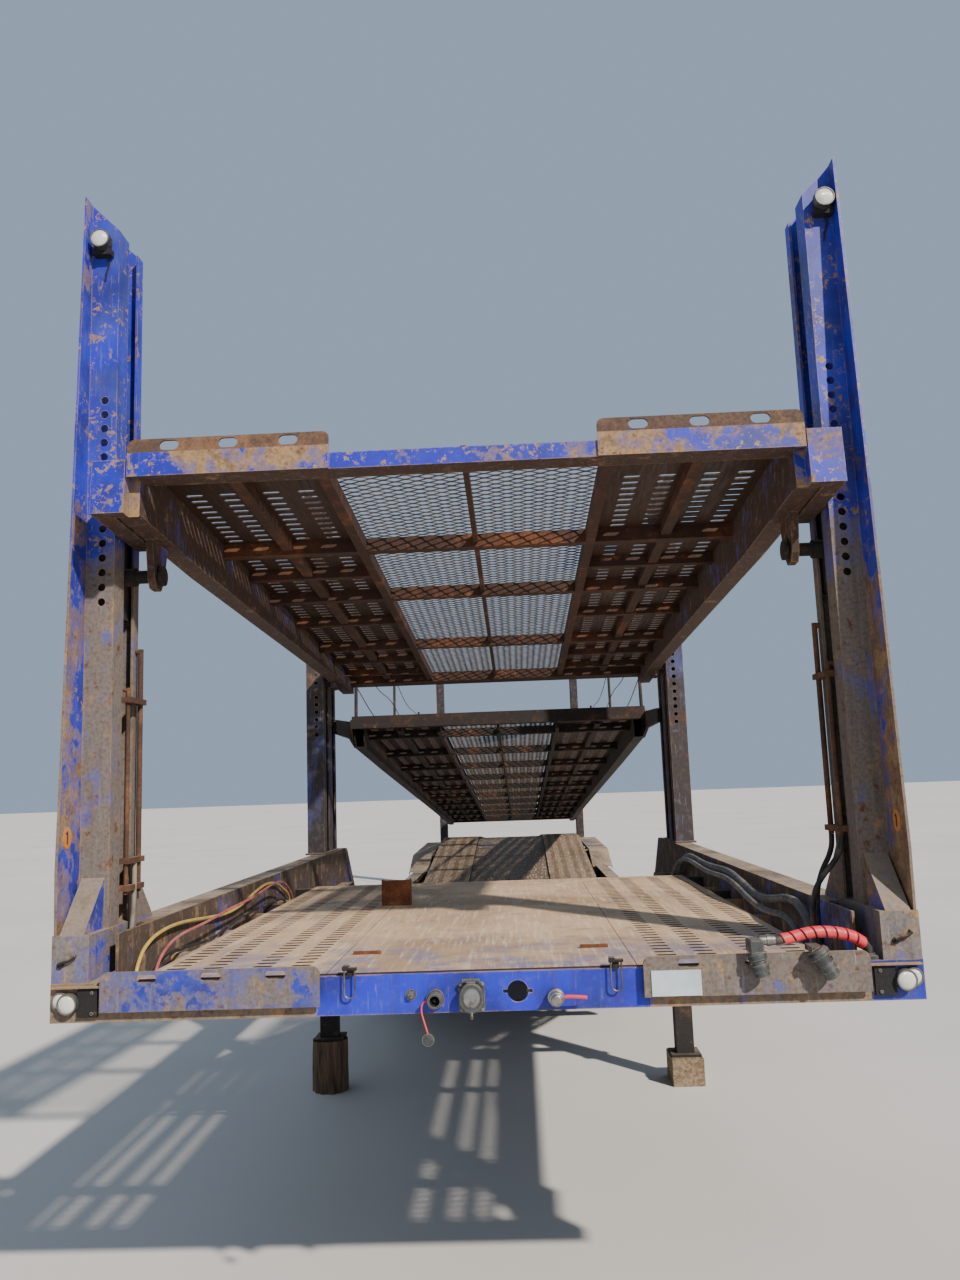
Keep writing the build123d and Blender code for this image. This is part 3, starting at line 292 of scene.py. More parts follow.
def deck_steel(name, blue_front=True, light=1.0):
    """Trodden plate: tan and grey, scratched along, blue left near the front edge."""
    m = Mat(name)
    a = m.noise(1.6, 6.0, 0.6, 0.5)
    b = m.noise(9.0, 6.0, 0.65, 0.3, m.at(shift=3.0))
    fine = m.noise(150.0, 3.0, 0.6)
    grain = m.noise(9.0, 5.0, 0.6, at=m.at(9.0, 0.55, 9.0, 2.0))
    # light below 1 darkens the whole plate tone: painted shade for plates that lie in shadow
    tone = [srgb(216 * light, 182 * light, 144 * light), srgb(178 * light, 146 * light, 114 * light)]
    col = m.mix(m.step(a, 0.34, 0.66), tone[0], tone[1])
    col = m.mix(m.step(b, 0.5, 0.72, 0.0, 0.55), col, srgb(150, 122, 98))
    col = m.mix(m.step(grain, 0.50, 0.68, 0.0, 0.55), col, srgb(226, 206, 182))
    col = m.mix(m.step(m.noise(4.2, 6.0, 0.7, at=m.at(shift=13.0)), 0.62, 0.72, 0.0, 0.6), col, srgb(122, 88, 62))
    if blue_front:
        near = m.step(m.y, Y(0.85), Y(0.05))
        tint = m.math("MULTIPLY", near, m.step(m.noise(6.0, 6.0, 0.65, at=m.at(shift=6.0)), 0.42, 0.6))
        col = m.mix(m.math("MULTIPLY", tint, 0.62), col, srgb(104, 112, 158))
    tint = m.step(m.noise(2.3, 5.0, 0.6, at=m.at(shift=24.0)), 0.6, 0.7, 0.0, 0.4)
    col = m.mix(tint, col, srgb(112, 120, 150))
    col = m.mix(m.step(fine, 0.5, 0.85, 0.0, 0.35), col, srgb(96, 78, 62))
    # faces that look down are darkened to near-black brown: painted shade under the plates
    down = m.step(m.normal_z(), -0.4, -0.9)
    col = m.mix(down, col, srgb(52, 32, 22))
    # faces that stand on edge, the slot walls and plate edges, are darkened: painted shade
    side = m.math("SUBTRACT", 1.0, m.math("ABSOLUTE", m.normal_z()), clamp=True)
    col = m.mix(m.step(side, 0.4, 0.8, 0.0, 1.0), col, srgb(50, 34, 26))
    m.bump(m.math("ADD", m.math("MULTIPLY", fine, 0.5), m.math("MULTIPLY", grain, 0.6)), 0.3, 0.001)
    return m.done(col, m.step(grain, 0.3, 0.7, 0.5, 0.8), 0.0)


def plain_metal(name, base, dark, scale=22.0, rough=(0.35, 0.65), metal=0.6, dust=0.3, edge=False):
    m = Mat(name)
    a = m.noise(scale, 6.0, 0.6, 0.2)
    fine = m.noise(scale * 9, 3.0, 0.6)
    col = m.mix(m.step(a, 0.35, 0.68), base, dark)
    col = m.mix(m.step(fine, 0.4, 0.8, 0.0, 0.4), col, dark)
    if edge:
        col = m.mix(m.math("MULTIPLY", m.edge(0.003), 0.8), col, srgb(170, 165, 158))
    up = m.step(m.normal_z(), 0.3, 0.95)
    col = m.mix(m.math("MULTIPLY", up, dust), col, DUST)
    m.bump(fine, 0.2, 0.0006)
    return m.done(col, m.step(a, 0.3, 0.7, rough[0], rough[1]), metal)


def rubber(name, base=srgb(30, 29, 28), dust=0.4, rough=0.75):
    m = Mat(name)
    a = m.noise(7.0, 5.0, 0.6, 0.2)
    fine = m.noise(160.0, 2.0, 0.6)
    col = m.mix(m.step(a, 0.35, 0.7), base, srgb(52, 49, 45))
    col = m.mix(m.step(m.noise(3.0, 6.0, 0.65, at=m.at(shift=5.0)), 0.42, 0.66, 0.0, dust), col, srgb(138, 124, 104))
    m.bump(fine, 0.25, 0.0005)
    return m.done(col, m.step(fine, 0.2, 0.8, rough - 0.1, rough + 0.15), 0.0)


def wood(name, along="z", bark=False):
    m = Mat(name)
    st = {"z": (1.0, 1.0, 0.09), "y": (1.0, 0.09, 1.0), "x": (0.09, 1.0, 1.0)}[along]
    grain = m.noise(46.0, 6.0, 0.65, 0.8, m.at(*st))
    big = m.noise(7.0, 5.0, 0.6, 0.6, m.at(*st, shift=3.0))
    fine = m.noise(210.0, 3.0, 0.6, at=m.at(*st, shift=1.0))
    if bark:
        col = m.mix(m.step(grain, 0.36, 0.66), srgb(122, 96, 72), srgb(66, 48, 34))
        col = m.mix(m.step(big, 0.5, 0.7, 0.0, 0.7), col, srgb(150, 126, 100))
    else:
        col = m.mix(m.step(grain, 0.36, 0.66), srgb(152, 132, 106), srgb(104, 84, 62))
        col = m.mix(m.step(big, 0.45, 0.7, 0.0, 0.75), col, srgb(126, 112, 94))
    col = m.mix(m.step(fine, 0.45, 0.8, 0.0, 0.55), col, srgb(66, 48, 34))
    m.bump(m.math("ADD", grain, m.math("MULTIPLY", fine, 0.5)), 0.7, 0.003)
    return m.done(col, 0.88, 0.0)


def lens(name, colour, rough=0.12, ribs=140.0):
    m = Mat(name)
    a = m.noise(30.0, 4.0, 0.6)
    w = m.add("TexWave", wave_type="BANDS", bands_direction="X")
    m.put(w.inputs["Vector"], m.pos)
    w.inputs["Scale"].default_value = ribs
    col = m.mix(m.step(a, 0.35, 0.7, 0.0, 0.5), colour, tuple(v * 0.72 for v in colour[:3]) + (1.0,))
    col = m.mix(m.step(w.outputs[0], 0.2, 0.8, 0.0, 0.2), col, (0.8, 0.8, 0.76, 1.0))
    m.bump(w.outputs[0], 0.35, 0.0008)
    return m.done(col, m.step(a, 0.3, 0.7, rough, rough + 0.2), 0.0)


def simple(name, base, var, scale=30.0, rough=0.5, metal=0.0, dust=0.2):
    m = Mat(name)
    a = m.noise(scale, 5.0, 0.6, 0.2)
    fine = m.noise(scale * 8, 2.0, 0.6)
    col = m.mix(m.step(a, 0.35, 0.7), base, var)
    col = m.mix(m.step(m.noise(scale * 0.4, 5.0, at=m.at(shift=3.0)), 0.45, 0.7, 0.0, dust), col, DUST)
    m.bump(fine, 0.2, 0.0005)
    return m.done(col, m.step(a, 0.3, 0.7, rough - 0.1, rough + 0.15), metal)


def materials():
    M = {}
    M["beam"] = worn_paint("paint_front_beam", paint=srgb(28, 42, 200), amount=0.80, size=3.2, freckles=0.10,
                           faded=0.15, tan=0.4, dirt=0.2, bare=srgb(128, 112, 96), veiled=0.6,
                           zone=lambda m: m.math("ADD", m.step(m.math("ABSOLUTE", m.x), 0.44, 0.50, 0.22, -0.28),
                                                 m.step(m.x, 1.09, 1.12, 0.0, 0.30)))
    M["flap"] = worn_paint("paint_flap", paint=srgb(40, 54, 176), amount=0.33, size=4.2, tan=0.25, freckles=0.05,
                           bare=srgb(116, 106, 98), edge_col=srgb(110, 88, 68), dirt=0.25, faded=0.8, veiled=0.9,
                           zone=lambda m: m.step(m.x, 0.0, 0.4, 0.03, -0.07))
    M["mast"] = worn_paint("paint_mast", amount=0.34, size=2.4, tan=0.18, freckles=0.7, bare=srgb(116, 106, 98),
                           dirt=0.28, faded=0.35, veiled=0.6, zone=lambda m: m.step(m.z, 2.2, 2.9, -0.10, 0.22))
    M["fin_in"] = worn_paint("paint_fin_inner", amount=0.44, size=3.4, tan=0.5, freckles=0.4, bare=srgb(126, 98, 72),
                             dirt=0.2, faded=0.2, veiled=0.6, zone=lambda m: m.step(m.z, 2.2, 2.9, -0.02, 0.12))
    M["fin_out"] = worn_paint("paint_fin_outer", amount=0.26, size=3.0, tan=0.35, freckles=0.2, bare=srgb(118, 104, 90),
                              dirt=0.2, faded=0.3)
    M["foot"] = worn_paint("paint_foot", amount=0.30, size=4.0, tan=0.3, freckles=0.1, bare=srgb(118, 112, 110),
                           dirt=0.3, faded=0.8, veiled=0.8)
    # darker copies of the mast paint for the masts further back: painted shade
    M["mast_rear"] = worn_paint("paint_mast_rear_painted_shade", amount=0.24, size=1.8, tan=0.05, bare=srgb(58, 54, 56), dirt=0.6,
                                paint=srgb(38, 46, 110))
    M["mast_tail"] = worn_paint("paint_mast_tail_painted_shade", amount=0.20, size=1.6, tan=0.0, bare=srgb(40, 36, 38), dirt=0.7,
                                paint=srgb(28, 34, 92), freckles=0.1, edge=False)
    M["rail"] = worn_paint("paint_rail", amount=0.16, size=2.6, tan=0.3, bare=srgb(74, 60, 50), dirt=0.6)
    # faces that look down keep less paint and show the dark bare brown: painted shade
    M["deck_beam"] = worn_paint("paint_deck_beam", amount=0.16, size=2.6, tan=0.1, bare=srgb(66, 46, 34), dirt=0.6,
                                zone=lambda m: m.step(m.normal_z(), -0.5, -0.9, 0.0, -0.2))
    M["upper_beam"] = worn_paint("paint_upper_beam", paint=srgb(24, 34, 176), amount=0.45, size=5.2, tan=0.8,
                                 freckles=0.7, faded=0.1, bare=srgb(116, 92, 66), dirt=0.15, veiled=0.3,
                                 zone=lambda m: m.math(
                                     "ADD", m.step(m.math("ABSOLUTE", m.x), 0.38, 0.43, 0.055, -0.035),
                                     m.step(m.math("ABSOLUTE", m.x), 1.02, 1.05, 0.0, 0.09)))
    M["lip"] = rusty("lip_rust", base=srgb(84, 62, 48), light=srgb(122, 88, 62), amount=0.5, dust=0.2)
    M["rust"] = rusty("rust_grid", blue=0.0)
    # darker copy of the grid rust for the rear deck: painted shade on its underside
    M["rust_rear_painted_shade"] = rusty("rust_grid_rear_painted_shade", blue=0.0, base=srgb(34, 25, 21), light=srgb(72, 44, 28))
    M["dark"] = rusty("dark_steel", base=srgb(36, 31, 29), light=srgb(66, 48, 38), amount=0.4, blue=0.0)
    M["box"] = rusty("rust_box", base=srgb(112, 62, 34), light=srgb(150, 92, 54), amount=0.6, dust=0.3)
    M["deck"] = deck_steel("deck_plate")
    # darker copy of the deck plate for the runways under the upper decks: painted shade
    M["deck_upper"] = deck_steel("deck_plate_upper_painted_shade", blue_front=False, light=0.66)
    # darker copy for the centre plate: partly its darker blue-grey tone, partly painted shade
    M["deck_centre_painted_shade"] = deck_steel("deck_plate_centre_painted_shade", blue_front=False, light=0.5)
    M["rib"] = worn_paint("paint_rib", amount=0.18, size=5.0, tan=0.6, bare=srgb(132, 108, 82), dirt=0.2)
    M["chrome"] = plain_metal("bright_metal", srgb(176, 174, 170), srgb(112, 108, 102), scale=40.0, rough=(0.25, 0.5), metal=0.85, dust=0.15)
    # near-black for the insides of the couplings' open ends: painted shade in the bores
    M["hollow"] = simple("bore_painted_shade", srgb(18, 17, 17), srgb(30, 27, 25), 40.0, 0.8, dust=0.05)
    M["weld"] = rusty("weld_bead", base=srgb(92, 72, 56), light=srgb(132, 104, 80), amount=0.5)
    M["mesh"] = plain_metal("mesh_steel", srgb(86, 74, 62), srgb(52, 42, 34), rough=(0.5, 0.8), metal=0.3, dust=0.5)
    M["bare"] = plain_metal("bare_steel", srgb(124, 120, 114), srgb(78, 66, 56), metal=0.7)
    M["grey"] = plain_metal("grey_metal", srgb(86, 90, 90), srgb(58, 58, 56), scale=38.0, metal=0.45, edge=True)
    M["wheel"] = plain_metal("wheel_paint", srgb(138, 134, 126), srgb(96, 82, 68), scale=14.0, rough=(0.5, 0.8),
                             metal=0.25, dust=0.3)
    M["tyre"] = rubber("tyre_rubber", dust=0.45)
    M["log"] = wood("log_bark", "z", bark=True)
    M["block"] = wood("block_wood", "y")
    M["lens"] = lens("lamp_lens", srgb(216, 214, 204))
    M["red_lens"] = lens("red_lens", srgb(168, 22, 16))
    M["plate"] = simple("white_plate", srgb(196, 206, 210), srgb(178, 188, 194), 16.0, 0.42, dust=0.25)
    M["rope"] = plain_metal("wire_rope", srgb(74, 66, 58), srgb(44, 36, 30), scale=60.0, metal=0.5)
    M["red"] = simple("red_wrap", srgb(226, 70, 78), srgb(200, 48, 58), 40.0, 0.48, dust=0.12)
    M["black"] = simple("black_rubber", srgb(26, 26, 27), srgb(40, 39, 38), 50.0, 0.6, dust=0.2)
    M["hose"] = simple("grey_hose", srgb(96, 98, 100), srgb(74, 74, 76), 26.0, 0.6, dust=0.3)
    M["hose_foot"] = simple("pale_hose", srgb(122, 114, 104), srgb(98, 90, 80), 26.0, 0.6, dust=0.4)
    M["yellow"] = simple("yellow_cable", srgb(196, 168, 84), srgb(166, 138, 66), 26.0, 0.55, dust=0.3)
    M["pink"] = simple("pink_cable", srgb(176, 96, 96), srgb(150, 70, 74), 26.0, 0.55, dust=0.3)
    M["pipe"] = rusty("pipe_rust", base=srgb(74, 50, 36), light=srgb(110, 74, 50), amount=0.6)
    M["orange"] = simple("orange_sticker", srgb(214, 128, 30), srgb(190, 108, 28), 18.0, 0.5, dust=0.3)
    M["ink"] = simple("sticker_ink", srgb(34, 28, 24), srgb(48, 40, 34), 60.0, 0.6, dust=0.1)
    M["bracket"] = rusty("lamp_bracket", base=srgb(26, 25, 26), light=srgb(44, 38, 34), amount=0.3)
    M["slot_edge"] = rusty("slot_edge", base=srgb(70, 46, 30), light=srgb(112, 78, 50))
    return M


# ------------------------------------------------------------------ mesh helpers
def new_mesh(name, verts, faces, mats, smooth=False, index=None):
    me = bpy.data.meshes.new(name)
    me.from_pydata([tuple(v) for v in verts], [], faces)
    for m in mats if isinstance(mats, (list, tuple)) else [mats]:
        me.materials.append(m)
    if index is not None:
        me.polygons.foreach_set("material_index", index)
    if smooth:
        me.polygons.foreach_set("use_smooth", [True] * len(me.polygons))
    me.validate()
    me.update()
    ob = bpy.data.objects.new(name, me)
    SCENE.collection.objects.link(ob)
    return ob


def tilted(oy, oz, k):
    """Flat deck coordinates (x, y, depth below the top) to the row frame, for a deck that slopes by k."""
    a = atan2(k, 1)
    return lambda x, y, d: (x, Y(oy + (y - oy) * cos(a) - d * sin(a)), oz - (y - oy) * sin(a) - d * cos(a))


FRONT_DECK = tilted(0.0, 2.784, 0.0654)
REAR_DECK = tilted(4.8, 2.171, 0.1)


def along(line):
    def place(x, y, d):
        for (y0, z0), (y1, z1) in zip(line, line[1:]):
            if y <= y1 + 1e-9:
                return (x, Y(y), z0 + (z1 - z0) * (y - y0) / (y1 - y0) - d)
        return (x, Y(y), line[-1][1] - d)
    return place


def slotted_plate(name, place, x0, x1, cols, parts, mat, t=0.005, pitch=0.057, cell=0.042, half_l=0.031, half_w=0.0108,
                  arc=5):
    """A plate with rows of rounded slots across it. parts are straight stretches (y0, y1, first and last row's margin)."""
    verts, faces, seen = [], [], {}

    def v(x, y, low):
        key = (round(x, 5), round(y, 5), low)
        if key not in seen:
            seen[key] = len(verts)
            verts.append(place(x, y, t if low else 0.0))
        return seen[key]

    def both_sides(ring):
        faces.append([v(x, y, False) for x, y in ring])
        faces.append([v(x, y, True) for x, y in reversed(ring)])

    xs = {x0, x1}
    for c in cols:
        xs |= {c - cell, c, c + cell}
    xs = sorted(xs)
    slots = set(cols)
    ys = [parts[0][0]]
    rows = []
    for y0, y1, m0, m1 in parts:
        n = int((y1 - y0 - m0 - m1) / pitch)
        lead = (y1 - y0 - n * pitch - m0 - m1) / 2
        a = y0 + m0 + lead
        if a > y0 + 1e-6:
            rows.append((y0, a, False))
        for i in range(n):
            rows.append((a + i * pitch, a + (i + 1) * pitch, True))
        if a + n * pitch < y1 - 1e-6:
            rows.append((a + n * pitch, y1, False))
    for ya, yb, holed in rows:
        yc = (ya + yb) / 2
        for xa, xb in zip(xs, xs[1:]):
            if holed and xb in slots and abs(xb - xa - cell) < 1e-6:
                c, s = xb, -1
            elif holed and xa in slots and abs(xb - xa - cell) < 1e-6:
                c, s = xa, 1
            else:
                both_sides([(xa, ya), (xb, ya), (xb, yb), (xa, yb)])
                continue
            inner = [(c, yc - half_w)]
            for i in range(arc + 1):
                a = -pi / 2 + pi * i / arc
                inner.append((c + s * (half_l - half_w + half_w * cos(a)), yc + half_w * sin(a)))
            inner.append((c, yc + half_w))
            far = c + s * cell
            ring = [(far, ya), (c, ya)] + inner + [(c, yb), (far, yb)]
            if s > 0:
                ring = ring[::-1]
            both_sides(ring)
            for p, q in zip(inner, inner[1:]):
                quad = [v(p[0], p[1], False), v(q[0], q[1], False), v(q[0], q[1], True), v(p[0], p[1], True)]
                faces.append(quad if s < 0 else quad[::-1])
    for (ya, yb, _) in rows:
        faces.append([v(x0, ya, False), v(x0, yb, False), v(x0, yb, True), v(x0, ya, True)])
        faces.append([v(x1, yb, False), v(x1, ya, False), v(x1, ya, True), v(x1, yb, True)])
    for xa, xb in zip(xs, xs[1:]):
        y = rows[0][0]
        faces.append([v(xb, y, False), v(xa, y, False), v(xa, y, True), v(xb, y, True)])
        y = rows[-1][1]
        faces.append([v(xa, y, False), v(xb, y, False), v(xb, y, True), v(xa, y, True)])
    return verts, faces


def slotted_pair(name, place, x0, x1, cols, parts, mat, body, node, slot_name, **kw):
    verts, faces = [], []
    for s in (1, -1):
        a, b = sorted((s * x0, s * x1))
        vs, fs = slotted_plate(name, place, a, b, [s * c for c in cols], parts, mat, **kw)
        base = len(verts)
        verts += vs
        faces += [[i + base for i in f] for f in fs]
    ob = new_mesh(name, verts, faces, mat)
    finish_mesh(ob)
    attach(ob, body)
    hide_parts(node)
    return ob


def finish_mesh(ob):
    import bmesh
    bm = bmesh.new()
    bm.from_mesh(ob.data)
    bmesh.ops.recalc_face_normals(bm, faces=bm.faces)
    bm.to_mesh(ob.data)
    bm.free()


def expanded_mesh(name, place, x0, x1, y0, y1, mat, body, node, lwd=0.075, swd=0.040, w=0.0045, t=0.003):
    """Expanded metal: zigzag strands side by side, joined where they meet."""
    verts, faces = [], []
    n = int(round((y1 - y0) / (swd / 2)))
    step_y = (y1 - y0) / n
    m = int(round((x1 - x0) / (lwd / 2)))
    step_x = (x1 - x0) / m
    b = 0.0055
    for k in range(n):
        lift = 0.0 if k % 2 else 0.0003
        line = []
        for j in range(m + 1):
            x = x0 + j * step_x
            high = (j + k) % 2 == 1
            y = y0 + (k + 1) * step_y - 0.4 * w if high else y0 + k * step_y + 0.4 * w
            for dx in ((-b, b) if 0 < j < m else ((0.0, b) if j == 0 else (-b, 0.0))):
                line.append((x + dx, y))
        base = len(verts)
        for x, y in line:
            for dy, d in ((-w / 2, 0.0), (w / 2, 0.0), (w / 2, t), (-w / 2, t)):
                verts.append(place(x, y + dy, 0.0005 + d + lift))
        for i in range(len(line) - 1):
            p, q = base + 4 * i, base + 4 * i + 4
            for c in range(4):
                faces.append([p + c, p + (c + 1) % 4, q + (c + 1) % 4, q + c])
        faces.append([base, base + 3, base + 2, base + 1])
        e = base + 4 * (len(line) - 1)
        faces.append([e, e + 1, e + 2, e + 3])
    ob = new_mesh(name, verts, faces, mat)
    finish_mesh(ob)
    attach(ob, body)
    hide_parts(node)
    return ob


def box_shape(x0, x1, y0, y1, z0, z1, place=None):
    """Corners and faces of a box in photo metres, or in flat deck coordinates when place is given."""
    pts = [(x0, y0, z0), (x1, y0, z0), (x1, y1, z0), (x0, y1, z0), (x0, y0, z1), (x1, y0, z1), (x1, y1, z1), (x0, y1, z1)]
    pts = [place(*p) for p in pts] if place else [(x, Y(y), z) for x, y, z in pts]
    return pts, [[0, 3, 2, 1], [4, 5, 6, 7], [0, 1, 5, 4], [1, 2, 6, 5], [2, 3, 7, 6], [3, 0, 4, 7]]


class Build:
    """Gathers shapes into one piece."""

    def __init__(self):
        self.v, self.f, self.i = [], [], []

    def add(self, shape, mat=0):
        vs, fs = shape
        base = len(self.v)
        self.v += [tuple(p) for p in vs]
        self.f += [[k + base for k in f] for f in fs]
        self.i += [mat] * len(fs)

    def box(self, *a, mat=0, place=None):
        self.add(box_shape(*a, place=place), mat)

    def lathe(self, profile, origin, axis, n=24, mat=0, up=None):
        """profile of (distance along the axis, radius) turned round the axis; ends close on the axis at radius 0."""
        w = Vector(axis).normalized()
        u = w.orthogonal().normalized() if up is None else (Vector(up) - w * w.dot(Vector(up))).normalized()
        k = w.cross(u)
        o = Vector(origin)
        vs, fs, rings = [], [], []
        for d, r in profile:
            if r < 1e-7:
                rings.append([len(vs)] * n)
                vs.append(o + w * d)
            else:
                rings.append(list(range(len(vs), len(vs) + n)))
                for i in range(n):
                    a = 2 * pi * i / n
                    vs.append(o + w * d + (u * cos(a) + k * sin(a)) * r)
        for a, b in zip(rings, rings[1:]):
            for i in range(n):
                j = (i + 1) % n
                face = []
                for q in (a[i], a[j], b[j], b[i]):
                    if q not in face:
                        face.append(q)
                if len(face) > 2:
                    fs.append(face)
        self.add((vs, fs), mat)

    def prism(self, ring, depth, origin, axis, mat=0, up=None, chamfer=0.0):
        """ring of 2-D points pushed along the axis by depth, with a small chamfer at the far end."""
        w = Vector(axis).normalized()
        u = w.orthogonal().normalized() if up is None else (Vector(up) - w * w.dot(Vector(up))).normalized()
        k = w.cross(u)
        o = Vector(origin)
        n = len(ring)
        levels = [(0.0, 1.0), (depth - chamfer, 1.0), (depth, 1.0)] if chamfer else [(0.0, 1.0), (depth, 1.0)]
        vs = []
        for li, (d, _) in enumerate(levels):
            for p in ring:
                q = Vector((p[0], p[1]))
                if chamfer and li == len(levels) - 1:
                    q = q * (1 - chamfer / max(q.length, 1e-6))
                vs.append(o + w * d + u * q.x + k * q.y)
        fs = [list(range(n))[::-1]]
        for li in range(len(levels) - 1):
            for i in range(n):
                j = (i + 1) % n
                fs.append([li * n + i, li * n + j, (li + 1) * n + j, (li + 1) * n + i])
        fs.append([(len(levels) - 1) * n + i for i in range(n)])
        self.add((vs, fs), mat)

    def hex(self, origin, axis, r, depth, mat=0, turn=0.0):
        self.prism([(r * cos(turn + pi * i / 3), r * sin(turn + pi * i / 3)) for i in range(6)], depth, origin, axis, mat,
                   chamfer=min(r, depth) * 0.18)

    def tube(self, line, r, n=8, mat=0, caps=True):
        """Round tube along a list of points."""
        pts = [Vector(p) for p in line]
        vs, fs = [], []
        t = (pts[1] - pts[0]).normalized()
        u = t.orthogonal().normalized()
        for i, p in enumerate(pts):
            a = pts[max(i - 1, 0)]
            b = pts[min(i + 1, len(pts) - 1)]
            t = (b - a).normalized()
            u = (u - t * t.dot(u)).normalized()
            k = t.cross(u)
            for j in range(n):
                g = 2 * pi * j / n
                vs.append(p + (u * cos(g) + k * sin(g)) * r)
        for i in range(len(pts) - 1):
            for j in range(n):
                q = (j + 1) % n
                fs.append([i * n + j, i * n + q, (i + 1) * n + q, (i + 1) * n + j])
        if caps:
            fs.append(list(range(n))[::-1])
            fs.append([(len(pts) - 1) * n + j for j in range(n)])
        self.add((vs, fs), mat)

    def make(self, name, mats, body, node=(), smooth_angle=None):
        ob = new_mesh(name, self.v, self.f, mats, index=self.i)
        finish_mesh(ob)
        if smooth_angle is not None:
            shade(ob, smooth_angle)
        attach(ob, body)
        if node:
            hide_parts(*([node] if isinstance(node, str) else node))
        return ob


def shade(ob, angle=35.0):
    """Smooth shading with edges sharper than the angle kept sharp."""
    import bmesh
    bm = bmesh.new()
    bm.from_mesh(ob.data)
    lim = radians(angle)
    for f in bm.faces:
        f.smooth = True
    for e in bm.edges:
        if len(e.link_faces) != 2 or e.calc_face_angle(0.0) > lim:
            e.smooth = False
    bm.to_mesh(ob.data)
    bm.free()


def dress(name, mat, smooth=None):
    ob = NODES[name]
    ob.data.materials.clear()
    ob.data.materials.append(mat)
    ob.data.polygons.foreach_set("material_index", [0] * len(ob.data.polygons))
    return ob


def dress_by(name, mats, pick):
    """Several materials on one node, chosen by each face's middle (in photo metres)."""
    ob = NODES[name]
    ob.data.materials.clear()
    for m in mats:
        ob.data.materials.append(m)
    idx = []
    for p in ob.data.polygons:
        c = p.center
        idx.append(pick(c.x, c.y + Y_MID, c.z, p.normal))
    ob.data.polygons.foreach_set("material_index", idx)
    return ob


# ------------------------------------------------------------------ stage
def stage():
    g = 120.0
    m = Mat("floor_pale")
    a = m.noise(0.35, 4.0, 0.5)
    col = m.mix(m.step(a, 0.3, 0.7), srgb(214, 208, 200), srgb(206, 200, 192))
    floor = new_mesh("floor", [(-g, -g, 0), (g, -g, 0), (g, g, 0), (-g, g, 0)], [[0, 1, 2, 3]], m.done(col, 0.9))
    world = bpy.data.worlds.new("studio")
    world.use_nodes = True
    bg = world.node_tree.nodes["Background"]
    bg.inputs[0].default_value = (0.60, 0.76, 1.0, 1.0)
    bg.inputs[1].default_value = 0.52
    SCENE.world = world
    sun = bpy.data.lights.new("key", "SUN")
    sun.energy = 5.6
    sun.angle = radians(1.6)
    sun.color = (1.0, 0.94, 0.86)
    ob = bpy.data.objects.new("key", sun)
    ob.rotation_mode = "QUATERNION"
    ob.rotation_quaternion = Vector((-0.8, 1.0, -0.95)).to_track_quat("-Z", "Y")
    ob.location = (6, -14, 9)
    SCENE.collection.objects.link(ob)


# ------------------------------------------------------------------ details
def P(x, y, z):
    return (x, Y(y), z)


def wound_strip(b, line, r0, r1, pitch, width, steps=16, lead=0.014, mat=0):
    """A flat strip wound round a line of points."""
    pts = [Vector(p) for p in line]
    dist = [0.0]
    for a, c in zip(pts, pts[1:]):
        dist.append(dist[-1] + (c - a).length)
    u = (pts[1] - pts[0]).normalized().orthogonal().normalized()
    frames = []
    for i in range(len(pts)):
        t = (pts[min(i + 1, len(pts) - 1)] - pts[max(i - 1, 0)]).normalized()
        u = (u - t * t.dot(u)).normalized()
        frames.append((u.copy(), t.cross(u)))

    def at(d, angle, r):
        d = min(max(d, 0.0), dist[-1])
        i = 0
        while i < len(dist) - 2 and dist[i + 1] < d:
            i += 1
        f = (d - dist[i]) / max(dist[i + 1] - dist[i], 1e-9)
        q = frames[i][0].lerp(frames[i + 1][0], f).normalized()
        k = frames[i][1].lerp(frames[i + 1][1], f).normalized()
        return pts[i].lerp(pts[i + 1], f) + (q * cos(angle) + k * sin(angle)) * r

    n = int((dist[-1] - 2 * lead - width) / pitch * steps)
    vs, fs = [], []
    for i in range(n + 1):
        a = 2 * pi * i / steps
        d = lead + width / 2 + pitch * i / steps
        for e, r in ((-width / 2, r0), (width / 2, r0), (width / 2 - 0.0012, r1), (-width / 2 + 0.0012, r1)):
            vs.append(at(d + e, a, r))
    for i in range(n):
        for c in range(4):
            e = (c + 1) % 4
            fs.append([4 * i + c, 4 * i + e, 4 * i + 4 + e, 4 * i + 4 + c])
    fs += [[0, 3, 2, 1], [4 * n, 4 * n + 1, 4 * n + 2, 4 * n + 3]]
    b.add((vs, fs), mat)


def lamp_shape(b, x, z, y, r, depth, lens_mat=0, bezel=1):
    """Round lamp that faces the front: bezel ring, recess and domed lens, its back at y."""
    b.lathe([(0.0, 0.0), (0.0, r * 0.86), (0.004, r), (depth - 0.004, r), (depth, r - 0.0015), (depth, r - 0.0045),
             (depth - 0.003, r - 0.0055)], P(x, y, z), (0, -1, 0), n=32, mat=bezel, up=(0, 0, 1))
    b.lathe([(depth - 0.003, r - 0.0055), (depth - 0.001, r * 0.72), (depth + 0.002, r * 0.52), (depth + 0.0035, r * 0.28),
             (depth + 0.004, 0.0)], P(x, y, z), (0, -1, 0), n=32, mat=lens_mat, up=(0, 0, 1))


